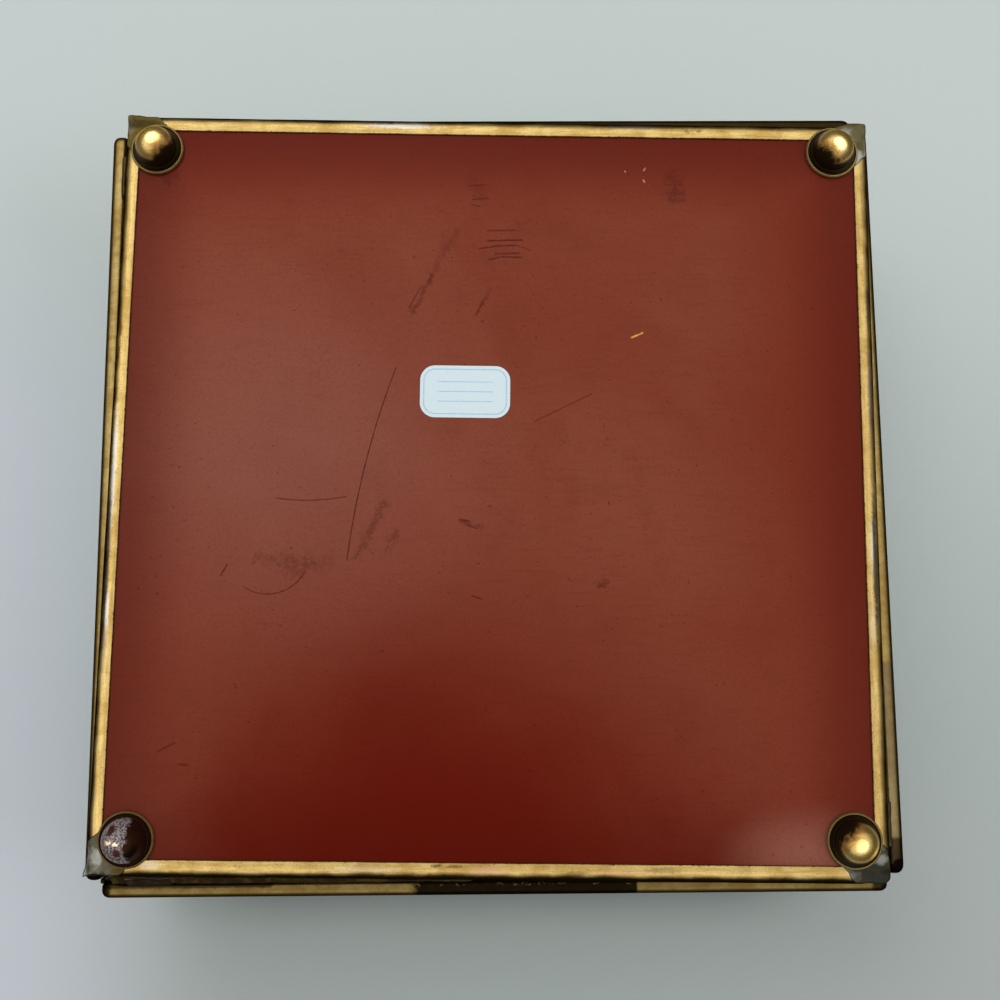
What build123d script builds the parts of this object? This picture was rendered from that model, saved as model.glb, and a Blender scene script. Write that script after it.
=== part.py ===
from build123d import *
import math
import os

# Square jewelry casket of glass panes in brass came, standing on four stamped feet.
# Millimetres, +Z up. The front is towards -Y. The origin is on the surface that the
# feet stand on, in the middle of the footprint with the lift knob counted in.

# Glass and came
glass_thickness = 2.4
came_wall = 0.4  # thickness of the folded brass strip
came_leg = 3.0  # how far a leg reaches in over the glass
came_round = 1.3  # radius where the strip turns from web to leg
came_fold = 2.0  # radius of a wall strip where it folds round a pane's corner
came_width = glass_thickness + 2 * came_wall

# Base tray: a mirror plate with its painted back downwards, framed in four rails
plate_width = 150.0
plate_depth = 149.4
base_end_leg = 3.4  # the front and back rails of the tray reach in a little further
base_skew = 1.02  # degrees that the tray is turned under the walls
base_shift = (0.0, -0.7)  # how far off centre the tray was soldered on
corner_gap = 6.0  # a rail's mitre starts this far short of the frame's corner
corner_round = 1.2  # the solder corners, seen from above
corner_edge = 1.0  # the solder corners, along their outer edges

# Walls
side_overhang = 2.4  # how far the side walls' outer faces stand out past the tray
end_overhang = 2.35  # and those of the front and back walls, on average
wall_height = 50.8
mitre_kerf = 0.2  # open line where two legs of a wall strip meet
solder_film = 0.05  # under the walls
seam_reach = 0.5  # how far a corner seam shows on the inside
seam_hollow = 2.8  # radius of the hollow face of a seam on the outside, open to the corner
tack_length = 9.0  # solder between tray and walls, where the turned tray falls back
tack_from_end = 9.5  # from a wall panel's end to the middle of the tack
tack_reach = 0.8

# Lid and its rod-and-tube hinge
lid_gap = 0.2  # between the lid and the rails that it closes on
tube_outer = 2.4
rod_diameter = 1.6
hinge_clearance = 0.04  # radial, rod in tube
tube_from_end = 8.5  # from the back panel's ends to the tube's
tube_gap = 0.2  # between the tube and the back wall below it
rod_bend = 2.4  # radius of the rod's centre line where it turns down
rod_leg = 16.0  # length of the rod's ends down the back corners
tube_bead_length = 9.0
tube_bead_reach = 1.9
tube_bead_from_end = 12.0  # from the tube's ends to the first and the last bead
tube_bead_shifts = (0.0, 0.3, 1.7, 1.0)  # hand-laid: how far each bead is off its even place

# Lift knob on the lid's front rail
knob_ball = 2.0
knob_neck = 0.9
knob_collar = 1.4
knob_projection = 4.5

# Feet: hollow stampings, a ball standing in a cupped flange
foot_rim = 5.35
foot_lip = 0.35  # radius of the rolled rim
foot_lip_height = 0.55
foot_flange = 0.4
foot_step = (4.5, 0.95)  # radius and height of the ring that the ball stands in
foot_step_round = 0.22
foot_ball = 4.1
foot_ball_centre = 1.5
foot_wear = 0.1  # worn off the tip, which leaves a small flat
foot_inset = 7.2  # from the tray's edges to a foot's centre
foot_offsets = {  # how far each foot sits from that place
    "front_left": (-0.5, 0.4),
    "front_right": (-0.3, -1.0),
    "back_left": (0.4, 0.2),
    "back_right": (0.3, -0.9),
}

# Plain paper label on the painted back
label_size = (18.0, 10.6)
label_round = 3.0
label_thickness = 0.12
label_place = (-5.9, -18.6)

# Worked out from the above
foot_height = foot_ball_centre + foot_ball - foot_wear
base_width = plate_width + 2 * came_round
base_depth = plate_depth + 2 * came_round
base_middle_z = foot_height + came_width / 2
wall_bottom = foot_height + came_width + solder_film
wall_top = wall_bottom + wall_height
back_wall_height = wall_height - tube_outer  # lower, to leave room for the hinge tube
ring_width = base_width + 2 * side_overhang  # over the outer faces of the walls
ring_depth = base_depth + 2 * end_overhang
sides = ("front", "right", "back", "left")
panel_height = {side: back_wall_height if side == "back" else wall_height for side in sides}
panel_length = {  # over its came: the panels meet at their inner edges
    side: (ring_width if side in ("front", "back") else ring_depth) - 2 * came_width for side in sides
}
panel_place = {  # from the middle of the casket to the middle of the panel's thickness
    side: ((ring_depth if side in ("front", "back") else ring_width) - came_width) / 2 for side in sides
}
lid_bottom = wall_top + lid_gap
hinge_y = panel_place["back"]
hinge_z = wall_bottom + back_wall_height + tube_gap + tube_outer / 2
tube_length = panel_length["back"] - 2 * tube_from_end
centre_y = knob_projection / 2

os.makedirs("parts", exist_ok=True)


def save(name, *solids):
    """Moves the solids from the middle of the walls to the part's frame."""
    placed = [Pos(0, centre_y, 0) * s for s in solids]
    export_step(placed[0] if len(placed) == 1 else Compound(children=placed), f"parts/{name}.step")


def channel_section(leg):
    """U section of the came, its crest at 0 and its legs towards +X."""
    outer = Rectangle(leg, came_width, align=(Align.MIN, Align.CENTER))
    outer = fillet(outer.vertices().sort_by(Axis.X)[:2], came_round)
    inner = Pos(came_wall, 0) * Rectangle(leg, glass_thickness, align=(Align.MIN, Align.CENTER))
    inner = fillet(inner.vertices().sort_by(Axis.X)[:2], came_round - came_wall)
    return outer - inner


def mitred_rail(length, leg):
    """Came rail along X, crest at Y 0, legs towards +Y, both ends cut short at 45 degrees."""
    start = Plane(origin=(-length / 2, 0, 0), x_dir=(0, 1, 0), z_dir=(1, 0, 0))
    rail = extrude(start * channel_section(leg), length)
    half = length / 2 - corner_gap
    outline = Polygon((-half, 0), (half, 0), (half - leg, leg), (-half + leg, leg), align=None)
    return rail & extrude(outline, came_width, both=True)


def solder_corner(side_leg, end_leg):
    """Solder that bridges two rails at a corner: outer corner at 0, 0, the frame towards +X and +Y."""
    outline = Polygon(
        (0, 0),
        (corner_gap, 0),
        (corner_gap + end_leg, end_leg),
        (side_leg, corner_gap + side_leg),
        (0, corner_gap),
        align=None,
    )
    block = extrude(outline, came_width / 2, both=True)
    upright = block.edges().filter_by(Axis.Z).sort_by_distance((0, 0, 0))[0]
    block = fillet(upright, corner_round)
    rim = [
        e
        for e in block.edges()
        if abs(abs(e.center().Z) - came_width / 2) < 1e-3
        and min(e.center().X, e.center().Y) < corner_round
        and max(e.center().X, e.center().Y) < corner_gap
        and e.center().X + e.center().Y < corner_gap
    ]
    block = fillet(rim, corner_edge)
    side = 4 * corner_gap
    plate = Pos(came_round, came_round) * Box(
        side, side, glass_thickness, align=(Align.MIN, Align.MIN, Align.CENTER)
    )
    return block - plate


def framed_plate(width, depth, side_leg, end_leg):
    """A flat frame round a plate: its four rails by name, and its four solder corners."""
    end_rail = mitred_rail(width, end_leg)
    side_rail = mitred_rail(depth, side_leg)
    rails = {
        "front": Pos(0, -depth / 2) * end_rail,
        "back": Rot(0, 0, 180) * Pos(0, -depth / 2) * end_rail,
        "left": Rot(0, 0, -90) * Pos(0, -width / 2) * side_rail,
        "right": Rot(0, 0, 90) * Pos(0, -width / 2) * side_rail,
    }
    corner = Pos(-width / 2, -depth / 2) * solder_corner(side_leg, end_leg)
    corners = [corner, mirror(corner, Plane.YZ)]
    corners += [mirror(c, Plane.XZ) for c in corners]
    return rails, corners


def rounded_slab(length, height, thickness, corner, edge):
    """Flat slab in XY with round corners and a round edge all the way along both faces."""
    slab = Box(length, height, thickness)
    slab = fillet(slab.edges().filter_by(Axis.Z), corner)
    faces = slab.faces().filter_by(Axis.Z)
    return fillet(faces.edges(), edge)


def wall_panel(length, height):
    """The whole of a wall panel, came and pane, lying in XY."""
    return rounded_slab(length, height, came_width, came_fold, came_round)


def wall_came(length, height):
    """One strip of came folded round a wall pane, lying in XY."""
    hollow = rounded_slab(
        length - 2 * came_wall,
        height - 2 * came_wall,
        glass_thickness,
        came_fold - came_wall,
        came_round - came_wall,
    )
    window = Box(length - 2 * came_leg, height - 2 * came_leg, 2 * came_width)
    strip = wall_panel(length, height) - hollow - window
    reach = (came_leg - came_round) * math.sqrt(2)
    for x, y in ((1, 1), (1, -1), (-1, 1), (-1, -1)):
        corner = Pos(x * (length / 2 - came_leg), y * (height / 2 - came_leg))
        turn = Rot(0, 0, math.degrees(math.atan2(y, x)))
        kerf = Box(2 * reach, mitre_kerf, 2 * came_width)
        strip -= corner * turn * kerf
    return strip


def wall_pane(length, height):
    pane = Box(length - 2 * came_round, height - 2 * came_round, glass_thickness)
    return fillet(pane.edges().filter_by(Axis.Z), came_fold - came_round)


def stand(side):
    """Stands a panel up at a side of the ring, with its lower edge on the wall line."""
    upright = Pos(0, -panel_place[side], wall_bottom + panel_height[side] / 2) * Rot(90, 0, 0)
    return Rot(0, 0, 90 * sides.index(side)) * upright


def foot():
    """Foot hanging below the tray: flange face at Z 0, ball downwards."""
    flange = Rectangle(foot_rim - foot_lip, foot_flange, align=(Align.MIN, Align.MIN))
    lip_middle = foot_lip_height - foot_lip
    lip = Pos(foot_rim - foot_lip, lip_middle) * Circle(foot_lip)
    lip += Pos(foot_rim - 2 * foot_lip, 0) * Rectangle(
        2 * foot_lip, lip_middle, align=(Align.MIN, Align.MIN)
    )
    step = Rectangle(*foot_step, align=(Align.MIN, Align.MIN))
    step = fillet(step.vertices().sort_by_distance((*foot_step, 0))[0], foot_step_round)
    ball = Pos(0, foot_ball_centre) * Circle(foot_ball)
    hollow = Pos(0, foot_ball_centre) * Circle(foot_ball - foot_flange)
    throat = math.sqrt((foot_ball - foot_flange) ** 2 - (foot_ball_centre - foot_flange) ** 2)
    hollow += Rectangle(throat, 2 * foot_flange, align=(Align.MIN, Align.CENTER))
    half = Rectangle(2 * foot_ball, foot_height, align=(Align.MIN, Align.MIN))
    profile = ((flange + lip + step + ball) & half) - hollow
    return Rot(180, 0, 0) * revolve(Plane.XZ * profile, Axis.Z)


def hinge_rod():
    low = hinge_z - rod_leg
    corner_x = panel_place["right"]
    path = FilletPolyline(
        (-corner_x, hinge_y, low),
        (-corner_x, hinge_y, hinge_z),
        (corner_x, hinge_y, hinge_z),
        (corner_x, hinge_y, low),
        radius=rod_bend,
    )
    start = Plane(origin=(-corner_x, hinge_y, low), z_dir=(0, 0, 1))
    return sweep(start * Circle(rod_diameter / 2), path)


def tube_bead(place):
    """Short solder fillet in the angle between the tube and the lid, on the inner side."""
    outline = Polygon((0, 0), (-tube_bead_reach, 0), (0, -tube_bead_reach), align=None)
    plane = Plane(
        origin=(place - tube_bead_length / 2, hinge_y, lid_bottom), x_dir=(0, 1, 0), z_dir=(1, 0, 0)
    )
    bead = extrude(plane * outline, tube_bead_length)
    return bead - hinge_cylinder(tube_outer / 2, 2 * tube_length)


def hinge_cylinder(radius, length):
    return Pos(0, hinge_y, hinge_z) * Rot(0, 90, 0) * Cylinder(radius, length)


def corner_seam(x, y, height, rod, panels):
    """Upright bead between two wall panels at the corner on side x, y."""
    inner = came_width + seam_reach  # both from the ring's outer corner
    outer = (came_width - came_round) / 2
    middle = (inner + outer) / 2
    bead = Pos(x * (ring_width / 2 - middle), y * (ring_depth / 2 - middle), wall_bottom) * Box(
        inner - outer, inner - outer, height, align=(Align.CENTER, Align.CENTER, Align.MIN)
    )
    bead -= Pos(x * ring_width / 2, y * ring_depth / 2, wall_bottom) * Cylinder(seam_hollow, 3 * height)
    for panel in panels:
        bead -= panel
    return bead - rod


def tray_tack(side, tray_body, panels):
    """Solder in the angle between the tray's edge and a wall's lower rail, near one end of that side."""
    edge = -panel_place[side]
    outline = Polygon(
        (edge, wall_bottom + mitre_kerf),
        (edge + came_width / 2 + seam_reach, foot_height + tack_reach),
        (edge + came_width, foot_height + came_width + tack_reach),
        align=None,
    )
    place = panel_length[side] / 2 - tack_from_end
    plane = Plane(origin=(0, -place, 0), x_dir=(1, 0, 0), z_dir=(0, -1, 0))
    tack = extrude(plane * outline, tack_length / 2, both=True)
    tack = Rot(0, 0, 90 + 90 * sides.index(side)) * tack - tray_body
    for panel in panels:
        tack -= panel
    return tack


# Base tray
tray = Pos(*base_shift, base_middle_z) * Rot(0, 0, base_skew)
base_rails, base_corners = framed_plate(base_width, base_depth, came_leg, base_end_leg)
base_rails = {side: tray * rail for side, rail in base_rails.items()}
base_corners = [tray * corner for corner in base_corners]
save("base_mirror", tray * Box(plate_width, plate_depth, glass_thickness))
for side, rail in base_rails.items():
    save(f"base_came_{side}", rail)
save("base_corner_solder", *base_corners)

for name, (dx, dy) in foot_offsets.items():
    x = (base_width / 2 - foot_inset) * (-1 if "left" in name else 1) + dx
    y = (base_depth / 2 - foot_inset) * (-1 if "front" in name else 1) + dy
    save(f"foot_{name}", tray * Pos(x, y, -came_width / 2) * foot())

label = fillet(Rectangle(*label_size).vertices(), label_round)
label_top = -glass_thickness / 2
save("label", tray * Pos(*label_place, label_top) * extrude(label, -label_thickness))

# Walls
panels = {side: stand(side) * wall_panel(panel_length[side], panel_height[side]) for side in sides}
for side in sides:
    save(f"{side}_came", stand(side) * wall_came(panel_length[side], panel_height[side]))
    save(f"{side}_glass", stand(side) * wall_pane(panel_length[side], panel_height[side]))

rod = hinge_rod()
save("hinge_rod", rod)

seams = []
for x, beside in ((-1, "left"), (1, "right")):
    for y, across in ((-1, "front"), (1, "back")):
        height = panel_height[across] - came_fold
        seams.append(corner_seam(x, y, height, rod, (panels[beside], panels[across])))
save("corner_seam_solder", *seams)

tray_body = tray * rounded_slab(base_width, base_depth, came_width, corner_round + came_round, came_round)
save("tray_tack_solder", *[tray_tack(side, tray_body, panels.values()) for side in sides])

# Lid
lid = Pos(0, 0, lid_bottom + came_width / 2)
lid_rails, lid_corners = framed_plate(ring_width, ring_depth, came_leg, came_leg)
save("lid_glass", lid * Box(ring_width - 2 * came_round, ring_depth - 2 * came_round, glass_thickness))
for side, rail in lid_rails.items():
    save(f"lid_came_{side}", lid * rail)
save("lid_corner_solder", *[lid * corner for corner in lid_corners])

bore = rod_diameter / 2 + hinge_clearance
tube = hinge_cylinder(tube_outer / 2, tube_length) - hinge_cylinder(bore, 2 * tube_length)
save("hinge_tube", tube)
bead_pitch = (tube_length - 2 * tube_bead_from_end) / (len(tube_bead_shifts) - 1)
beads = []
for i, shift in enumerate(tube_bead_shifts):
    beads.append(tube_bead(tube_bead_from_end - tube_length / 2 + i * bead_pitch + shift))
save("hinge_tube_solder", *beads)

neck_length = knob_projection - knob_ball
knob_profile = Rectangle(knob_neck, neck_length, align=(Align.MIN, Align.MIN))
knob_profile += Polygon((0, 0), (knob_collar, 0), (0, knob_collar), align=None)
knob_profile += Pos(0, neck_length) * Circle(knob_ball)
knob_profile &= Rectangle(knob_ball, knob_projection, align=(Align.MIN, Align.MIN))
knob = revolve(Plane.XZ * knob_profile, Axis.Z)
save("lid_knob", lid * Pos(0, -ring_depth / 2) * Rot(90, 0, 0) * knob)

print("hinge axis, metres", 0.0, (hinge_y + centre_y) / 1000, hinge_z / 1000)
print("lid underside", lid_bottom, "top", lid_bottom + came_width)
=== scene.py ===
import math

import bmesh
import bpy
from mathutils import Matrix, Vector


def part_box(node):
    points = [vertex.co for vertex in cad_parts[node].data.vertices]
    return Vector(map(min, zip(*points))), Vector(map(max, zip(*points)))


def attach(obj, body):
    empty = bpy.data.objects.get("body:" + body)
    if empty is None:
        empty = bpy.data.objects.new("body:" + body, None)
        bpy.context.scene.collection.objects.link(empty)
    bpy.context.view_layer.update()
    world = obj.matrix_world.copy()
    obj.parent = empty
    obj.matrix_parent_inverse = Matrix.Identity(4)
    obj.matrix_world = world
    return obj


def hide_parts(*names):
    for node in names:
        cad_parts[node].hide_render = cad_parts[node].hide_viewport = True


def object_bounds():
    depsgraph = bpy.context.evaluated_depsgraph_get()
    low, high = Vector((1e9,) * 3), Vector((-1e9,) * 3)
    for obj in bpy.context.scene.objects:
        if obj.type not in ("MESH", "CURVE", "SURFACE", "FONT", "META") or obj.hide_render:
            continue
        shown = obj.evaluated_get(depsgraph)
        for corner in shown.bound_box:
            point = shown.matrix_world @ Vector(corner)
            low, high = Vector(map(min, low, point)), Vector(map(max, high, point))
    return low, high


# Jewelry casket of glass panes in soldered brass came, seen from below as in the photograph.
# Metres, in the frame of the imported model: +Z up, front towards -Y, feet on z = 0.

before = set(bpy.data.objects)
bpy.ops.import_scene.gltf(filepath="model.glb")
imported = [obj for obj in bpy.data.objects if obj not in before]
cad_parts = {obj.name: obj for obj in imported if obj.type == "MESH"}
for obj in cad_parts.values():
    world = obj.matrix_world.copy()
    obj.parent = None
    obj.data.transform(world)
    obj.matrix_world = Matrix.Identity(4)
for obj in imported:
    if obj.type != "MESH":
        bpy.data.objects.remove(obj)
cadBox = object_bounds()
mm = 0.001


# Small helpers for node trees

def addNode(tree, kind, inputs=None, **settings):
    node = tree.nodes.new(kind)
    for name, value in settings.items():
        setattr(node, name, value)
    for key, value in (inputs or {}).items():
        if isinstance(value, bpy.types.NodeSocket):
            tree.links.new(value, node.inputs[key])
        else:
            node.inputs[key].default_value = value
    return node


def shade(red, green, blue):
    # a colour as it looks on a screen, 0 to 255, in the linear values that shaders take
    linear = [c / 12.92 if c <= 0.04045 else ((c + 0.055) / 1.055) ** 2.4 for c in (red / 255, green / 255, blue / 255)]
    return (*linear, 1.0)


def newMaterial(name):
    material = bpy.data.materials.new(name)
    material.use_nodes = True
    material.node_tree.nodes.clear()
    return material, material.node_tree


def objectPlace(tree, squeeze=(1.0, 1.0, 1.0)):
    # object coordinates, in millimetres, squeezed
    place = addNode(tree, "ShaderNodeTexCoord").outputs["Object"]
    scale = tuple(s / mm for s in squeeze)
    return addNode(tree, "ShaderNodeMapping", {"Vector": place, "Scale": scale}).outputs["Vector"]


def spotPlace(tree, centre, size=(1.0, 1.0, 1.0), turn=0.0):
    # object coordinates seen from a spot: 0 at its centre and 1 at its size, all in millimetres
    place = addNode(tree, "ShaderNodeTexCoord").outputs["Object"]
    return addNode(tree, "ShaderNodeMapping", {
        "Vector": place,
        "Location": tuple(c * mm for c in centre),
        "Rotation": (0.0, 0.0, math.radians(turn)),
        "Scale": tuple(s * mm for s in size),
    }, vector_type="TEXTURE").outputs["Vector"]


def length(tree, vector):
    return addNode(tree, "ShaderNodeVectorMath", {0: vector}, operation="LENGTH").outputs["Value"]


def split(tree, vector):
    return addNode(tree, "ShaderNodeSeparateXYZ", {0: vector}).outputs


def noise(tree, vector, size, detail=3.0, roughness=0.5, distortion=0.0):
    # cloudy pattern, 0 to 1, whose blotches are about size millimetres
    return addNode(tree, "ShaderNodeTexNoise", {
        "Vector": vector, "Scale": 1.0 / size, "Detail": detail, "Roughness": roughness, "Distortion": distortion,
    }).outputs[0]


def ranged(tree, value, low, high, toLow=0.0, toHigh=1.0, smooth=True):
    return addNode(tree, "ShaderNodeMapRange", {
        "Value": value, "From Min": low, "From Max": high, "To Min": toLow, "To Max": toHigh,
    }, interpolation_type="SMOOTHSTEP" if smooth else "LINEAR").outputs[0]


def calc(tree, operation, first, second=0.0, clamp=False):
    return addNode(tree, "ShaderNodeMath", {0: first, 1: second}, operation=operation, use_clamp=clamp).outputs[0]


def tint(tree, factor, first, second, mode="MIX"):
    return addNode(tree, "ShaderNodeMix", {0: factor, 6: first, 7: second}, data_type="RGBA", blend_type=mode).outputs[2]


def bump(tree, height, strength, depth, under=None):
    inputs = {"Height": height, "Strength": strength, "Distance": depth * mm}
    if under is not None:
        inputs["Normal"] = under
    return addNode(tree, "ShaderNodeBump", inputs).outputs["Normal"]


def finishMaterial(tree, inputs):
    surface = addNode(tree, "ShaderNodeBsdfPrincipled", inputs)
    addNode(tree, "ShaderNodeOutputMaterial", {"Surface": surface.outputs[0]})


# Small helpers for geometry

def newRule(name, sockets):
    # a geometry tree with named inputs, each given as name: (kind, value)
    tree = bpy.data.node_groups.new(name, "GeometryNodeTree")
    tree.interface.new_socket("Geometry", in_out="INPUT", socket_type="NodeSocketGeometry")
    tree.interface.new_socket("Geometry", in_out="OUTPUT", socket_type="NodeSocketGeometry")
    for label, (kind, value) in sockets.items():
        socket = tree.interface.new_socket(label, in_out="INPUT", socket_type="NodeSocket" + kind)
        if value is not None:
            socket.default_value = value
    return tree, tree.nodes.new("NodeGroupInput").outputs


def endRule(tree, geometry, material):
    real = addNode(tree, "GeometryNodeRealizeInstances", {"Geometry": geometry}).outputs["Geometry"]
    faced = addNode(tree, "GeometryNodeSetMaterial", {"Geometry": real, "Material": material}).outputs["Geometry"]
    addNode(tree, "NodeGroupOutput", {"Geometry": faced})


def grow(name, start, tree, values, sharp=40.0):
    # runs the tree on a starting mesh and keeps the result as a plain mesh
    piece = bpy.data.objects.new(name, start)
    bpy.context.scene.collection.objects.link(piece)
    modifier = piece.modifiers.new("rule", "NODES")
    modifier.node_group = tree
    for item in tree.interface.items_tree:
        if item.in_out == "INPUT" and item.name in values:
            modifier[item.identifier] = values[item.name]
    piece.update_tag()
    bpy.context.view_layer.update()
    shaped = bpy.data.meshes.new_from_object(piece.evaluated_get(bpy.context.evaluated_depsgraph_get()))
    piece.modifiers.clear()
    piece.data = shaped
    shaped.name = name
    work = bmesh.new()
    work.from_mesh(shaped)
    bmesh.ops.remove_doubles(work, verts=work.verts, dist=1e-6)
    bmesh.ops.recalc_face_normals(work, faces=work.faces)
    work.to_mesh(shaped)
    work.free()
    shaped.shade_smooth()
    shaped.set_sharp_from_angle(angle=math.radians(sharp))
    return piece


def polyline(name, points, closed=False):
    count = len(points)
    edges = [(i, i + 1) for i in range(count - 1)] + ([(count - 1, 0)] if closed else [])
    mesh = bpy.data.meshes.new(name)
    mesh.from_pydata([tuple(c * mm for c in p) for p in points], edges, [])
    return mesh


def arc(centre, radius, start, end, steps):
    # points along an arc in a plane, angles in degrees
    turns = [math.radians(start + (end - start) * i / steps) for i in range(steps + 1)]
    return [(centre[0] + radius * math.cos(t), centre[1] + radius * math.sin(t)) for t in turns]


def wobble(tree, geometry, size, depth, seed, squeeze=(1.0, 1.0, 1.0), share=1.0):
    # moves each point by a smooth random amount, up to about depth
    place = tree.nodes.new("GeometryNodeInputPosition").outputs[0]
    spread = addNode(tree, "ShaderNodeVectorMath", {0: place, 1: squeeze}, operation="MULTIPLY").outputs[0]
    cloud = addNode(tree, "ShaderNodeTexNoise", {
        "Vector": spread, "W": seed, "Scale": calc(tree, "DIVIDE", 1.0, size), "Detail": 2.0,
    }, noise_dimensions="4D").outputs["Color"]
    centred = addNode(tree, "ShaderNodeVectorMath", {0: cloud, 1: (0.5, 0.5, 0.5)}, operation="SUBTRACT").outputs[0]
    amount = calc(tree, "MULTIPLY", calc(tree, "MULTIPLY", depth, 4.0), share)
    offset = addNode(tree, "ShaderNodeVectorMath", {0: centred, "Scale": amount}, operation="SCALE").outputs[0]
    return addNode(tree, "GeometryNodeSetPosition", {"Geometry": geometry, "Offset": offset}).outputs[0]


# Camera: stood so that the four edges of the plate's frame fall where the photograph has them
cameraLook = {
    "place": (-1.59, 39.91, -236.30),
    "trayTurn": 1.02,  # the camera was fitted to the tray, which is turned under the walls
    "pitch": 8.27,
    "yaw": 0.518,
    "roll": -0.702,
    "lens": 44.64,
    "sensor": 36.0,
}


def makeCamera(look):
    data = bpy.data.cameras.new("photoCamera")
    data.lens = look["lens"]
    data.sensor_width = look["sensor"]
    data.sensor_fit = "HORIZONTAL"
    data.clip_start = 0.01
    camera = bpy.data.objects.new("photoCamera", data)
    bpy.context.scene.collection.objects.link(camera)
    turns = (("Z", look["trayTurn"]), ("X", look["pitch"]), ("Y", look["yaw"]), ("Z", look["roll"]), ("X", 180.0))
    stance = Matrix.Translation(Vector(look["place"]) * mm)
    for axis, degrees in turns:
        stance = stance @ Matrix.Rotation(math.radians(degrees), 4, axis)
    camera.matrix_world = stance
    bpy.context.scene.camera = camera


makeCamera(cameraLook)
print("camera stands")


# Stage: a floor that shows only from above and a backdrop at the lid that shows only from below
stageLook = {
    "floorSize": 24.0,
    "floorColour": shade(214, 218, 218),
    "backdropSize": 0.34,
    "backdropCentre": (0.0, 0.0),
    "backdropNear": shade(198, 208, 206),
    "backdropFar": shade(172, 180, 179),
    "backdropLeft": shade(204, 210, 220),
    "underEdgeShadow": shade(98, 107, 107),
}
worldLook = {
    "seen": shade(196, 203, 203),
    "tone": (1.0, 0.985, 0.965, 1.0),
    "soft": 0.66,  # what lights the matte surfaces
    "core": 0.74,  # what the metal mirrors: straight up and down, in a ring about that, and low down
    "ring": 1.15,
    "low": 0.16,
    "ringStart": (10.0, 40.0),  # degrees from the vertical
    "ringEnd": (42.0, 78.0),
    "drift": (-0.22, -0.12, 0.0),  # the mirrored room is brighter on its left and towards the front
}
lamps = {
    "windowBelow": {"place": (-0.17, -0.34, -0.60), "aim": (0, 0, 0), "size": 0.46, "watts": 1.5, "mirrored": False},
    "lampBelow": {"place": (0.45, 0.08, -0.55), "aim": (0, 0, 0), "size": 0.34, "watts": 0.75, "mirrored": False},
    "softAbove": {"place": (-0.65, -0.75, 0.95), "aim": (0, 0, 0.03), "size": 0.9, "watts": 5.5, "mirrored": True},
    "fillAbove": {"place": (0.85, 0.55, 0.8), "aim": (0, 0, 0.03), "size": 0.9, "watts": 3.0, "mirrored": True},
}


def oneSided(tree, shader):
    # shows from the side that its faces point to, and not from behind
    behind = addNode(tree, "ShaderNodeNewGeometry").outputs["Backfacing"]
    clear = addNode(tree, "ShaderNodeBsdfTransparent").outputs[0]
    return addNode(tree, "ShaderNodeMixShader", {0: behind, 1: shader, 2: clear}).outputs[0]


def stagePlane(name, centre, width, depth, material, downwards=False):
    x, y, z = centre
    corners = [(x - width / 2, y - depth / 2, z), (x + width / 2, y - depth / 2, z),
               (x + width / 2, y + depth / 2, z), (x - width / 2, y + depth / 2, z)]
    mesh = bpy.data.meshes.new(name)
    mesh.from_pydata(corners, [], [(3, 2, 1, 0) if downwards else (0, 1, 2, 3)])
    mesh.materials.append(material)
    plane = bpy.data.objects.new(name, mesh)
    bpy.context.scene.collection.objects.link(plane)
    return plane


def makeStage(look):
    floorPaint, tree = newMaterial("floorPaint")
    matte = addNode(tree, "ShaderNodeBsdfDiffuse", {"Color": look["floorColour"]}).outputs[0]
    addNode(tree, "ShaderNodeOutputMaterial", {"Surface": oneSided(tree, matte)})
    floor = stagePlane("floor", (0, 0, 0), look["floorSize"], look["floorSize"], floorPaint)

    tablePaint, tree = newMaterial("tablePaint")
    across = split(tree, objectPlace(tree))
    # painted fall-off of light: the backdrop darkens towards the back
    down = ranged(tree, across["Y"], -110.0, 90.0)
    left = ranged(tree, across["X"], -60.0, -120.0)
    left = calc(tree, "MULTIPLY", left, ranged(tree, across["Y"], -90.0, -10.0, 0.15, 0.8))
    colour = tint(tree, down, look["backdropNear"], look["backdropFar"])
    colour = tint(tree, left, colour, look["backdropLeft"])
    # painted shadow: a darker band on the backdrop under the casket's back edge
    under = calc(tree, "MULTIPLY", ranged(tree, across["Y"], 72.0, 78.0), ranged(tree, across["Y"], 100.0, 80.0))
    under = calc(tree, "MULTIPLY", under, ranged(tree, calc(tree, "ABSOLUTE", across["X"]), 84.0, 50.0, 0.0, 0.95))
    colour = tint(tree, under, colour, look["underEdgeShadow"])
    matte = addNode(tree, "ShaderNodeBsdfDiffuse", {"Color": colour}).outputs[0]
    addNode(tree, "ShaderNodeOutputMaterial", {"Surface": oneSided(tree, matte)})
    side = look["backdropSize"]
    backdrop = stagePlane("backdrop", (*look["backdropCentre"], cadBox[1][2]), side, side, tablePaint, True)

    for plane in (floor, backdrop):
        plane.visible_shadow = False
        plane.visible_diffuse = False
        plane.visible_glossy = False
    backdrop.visible_transmission = False


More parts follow.
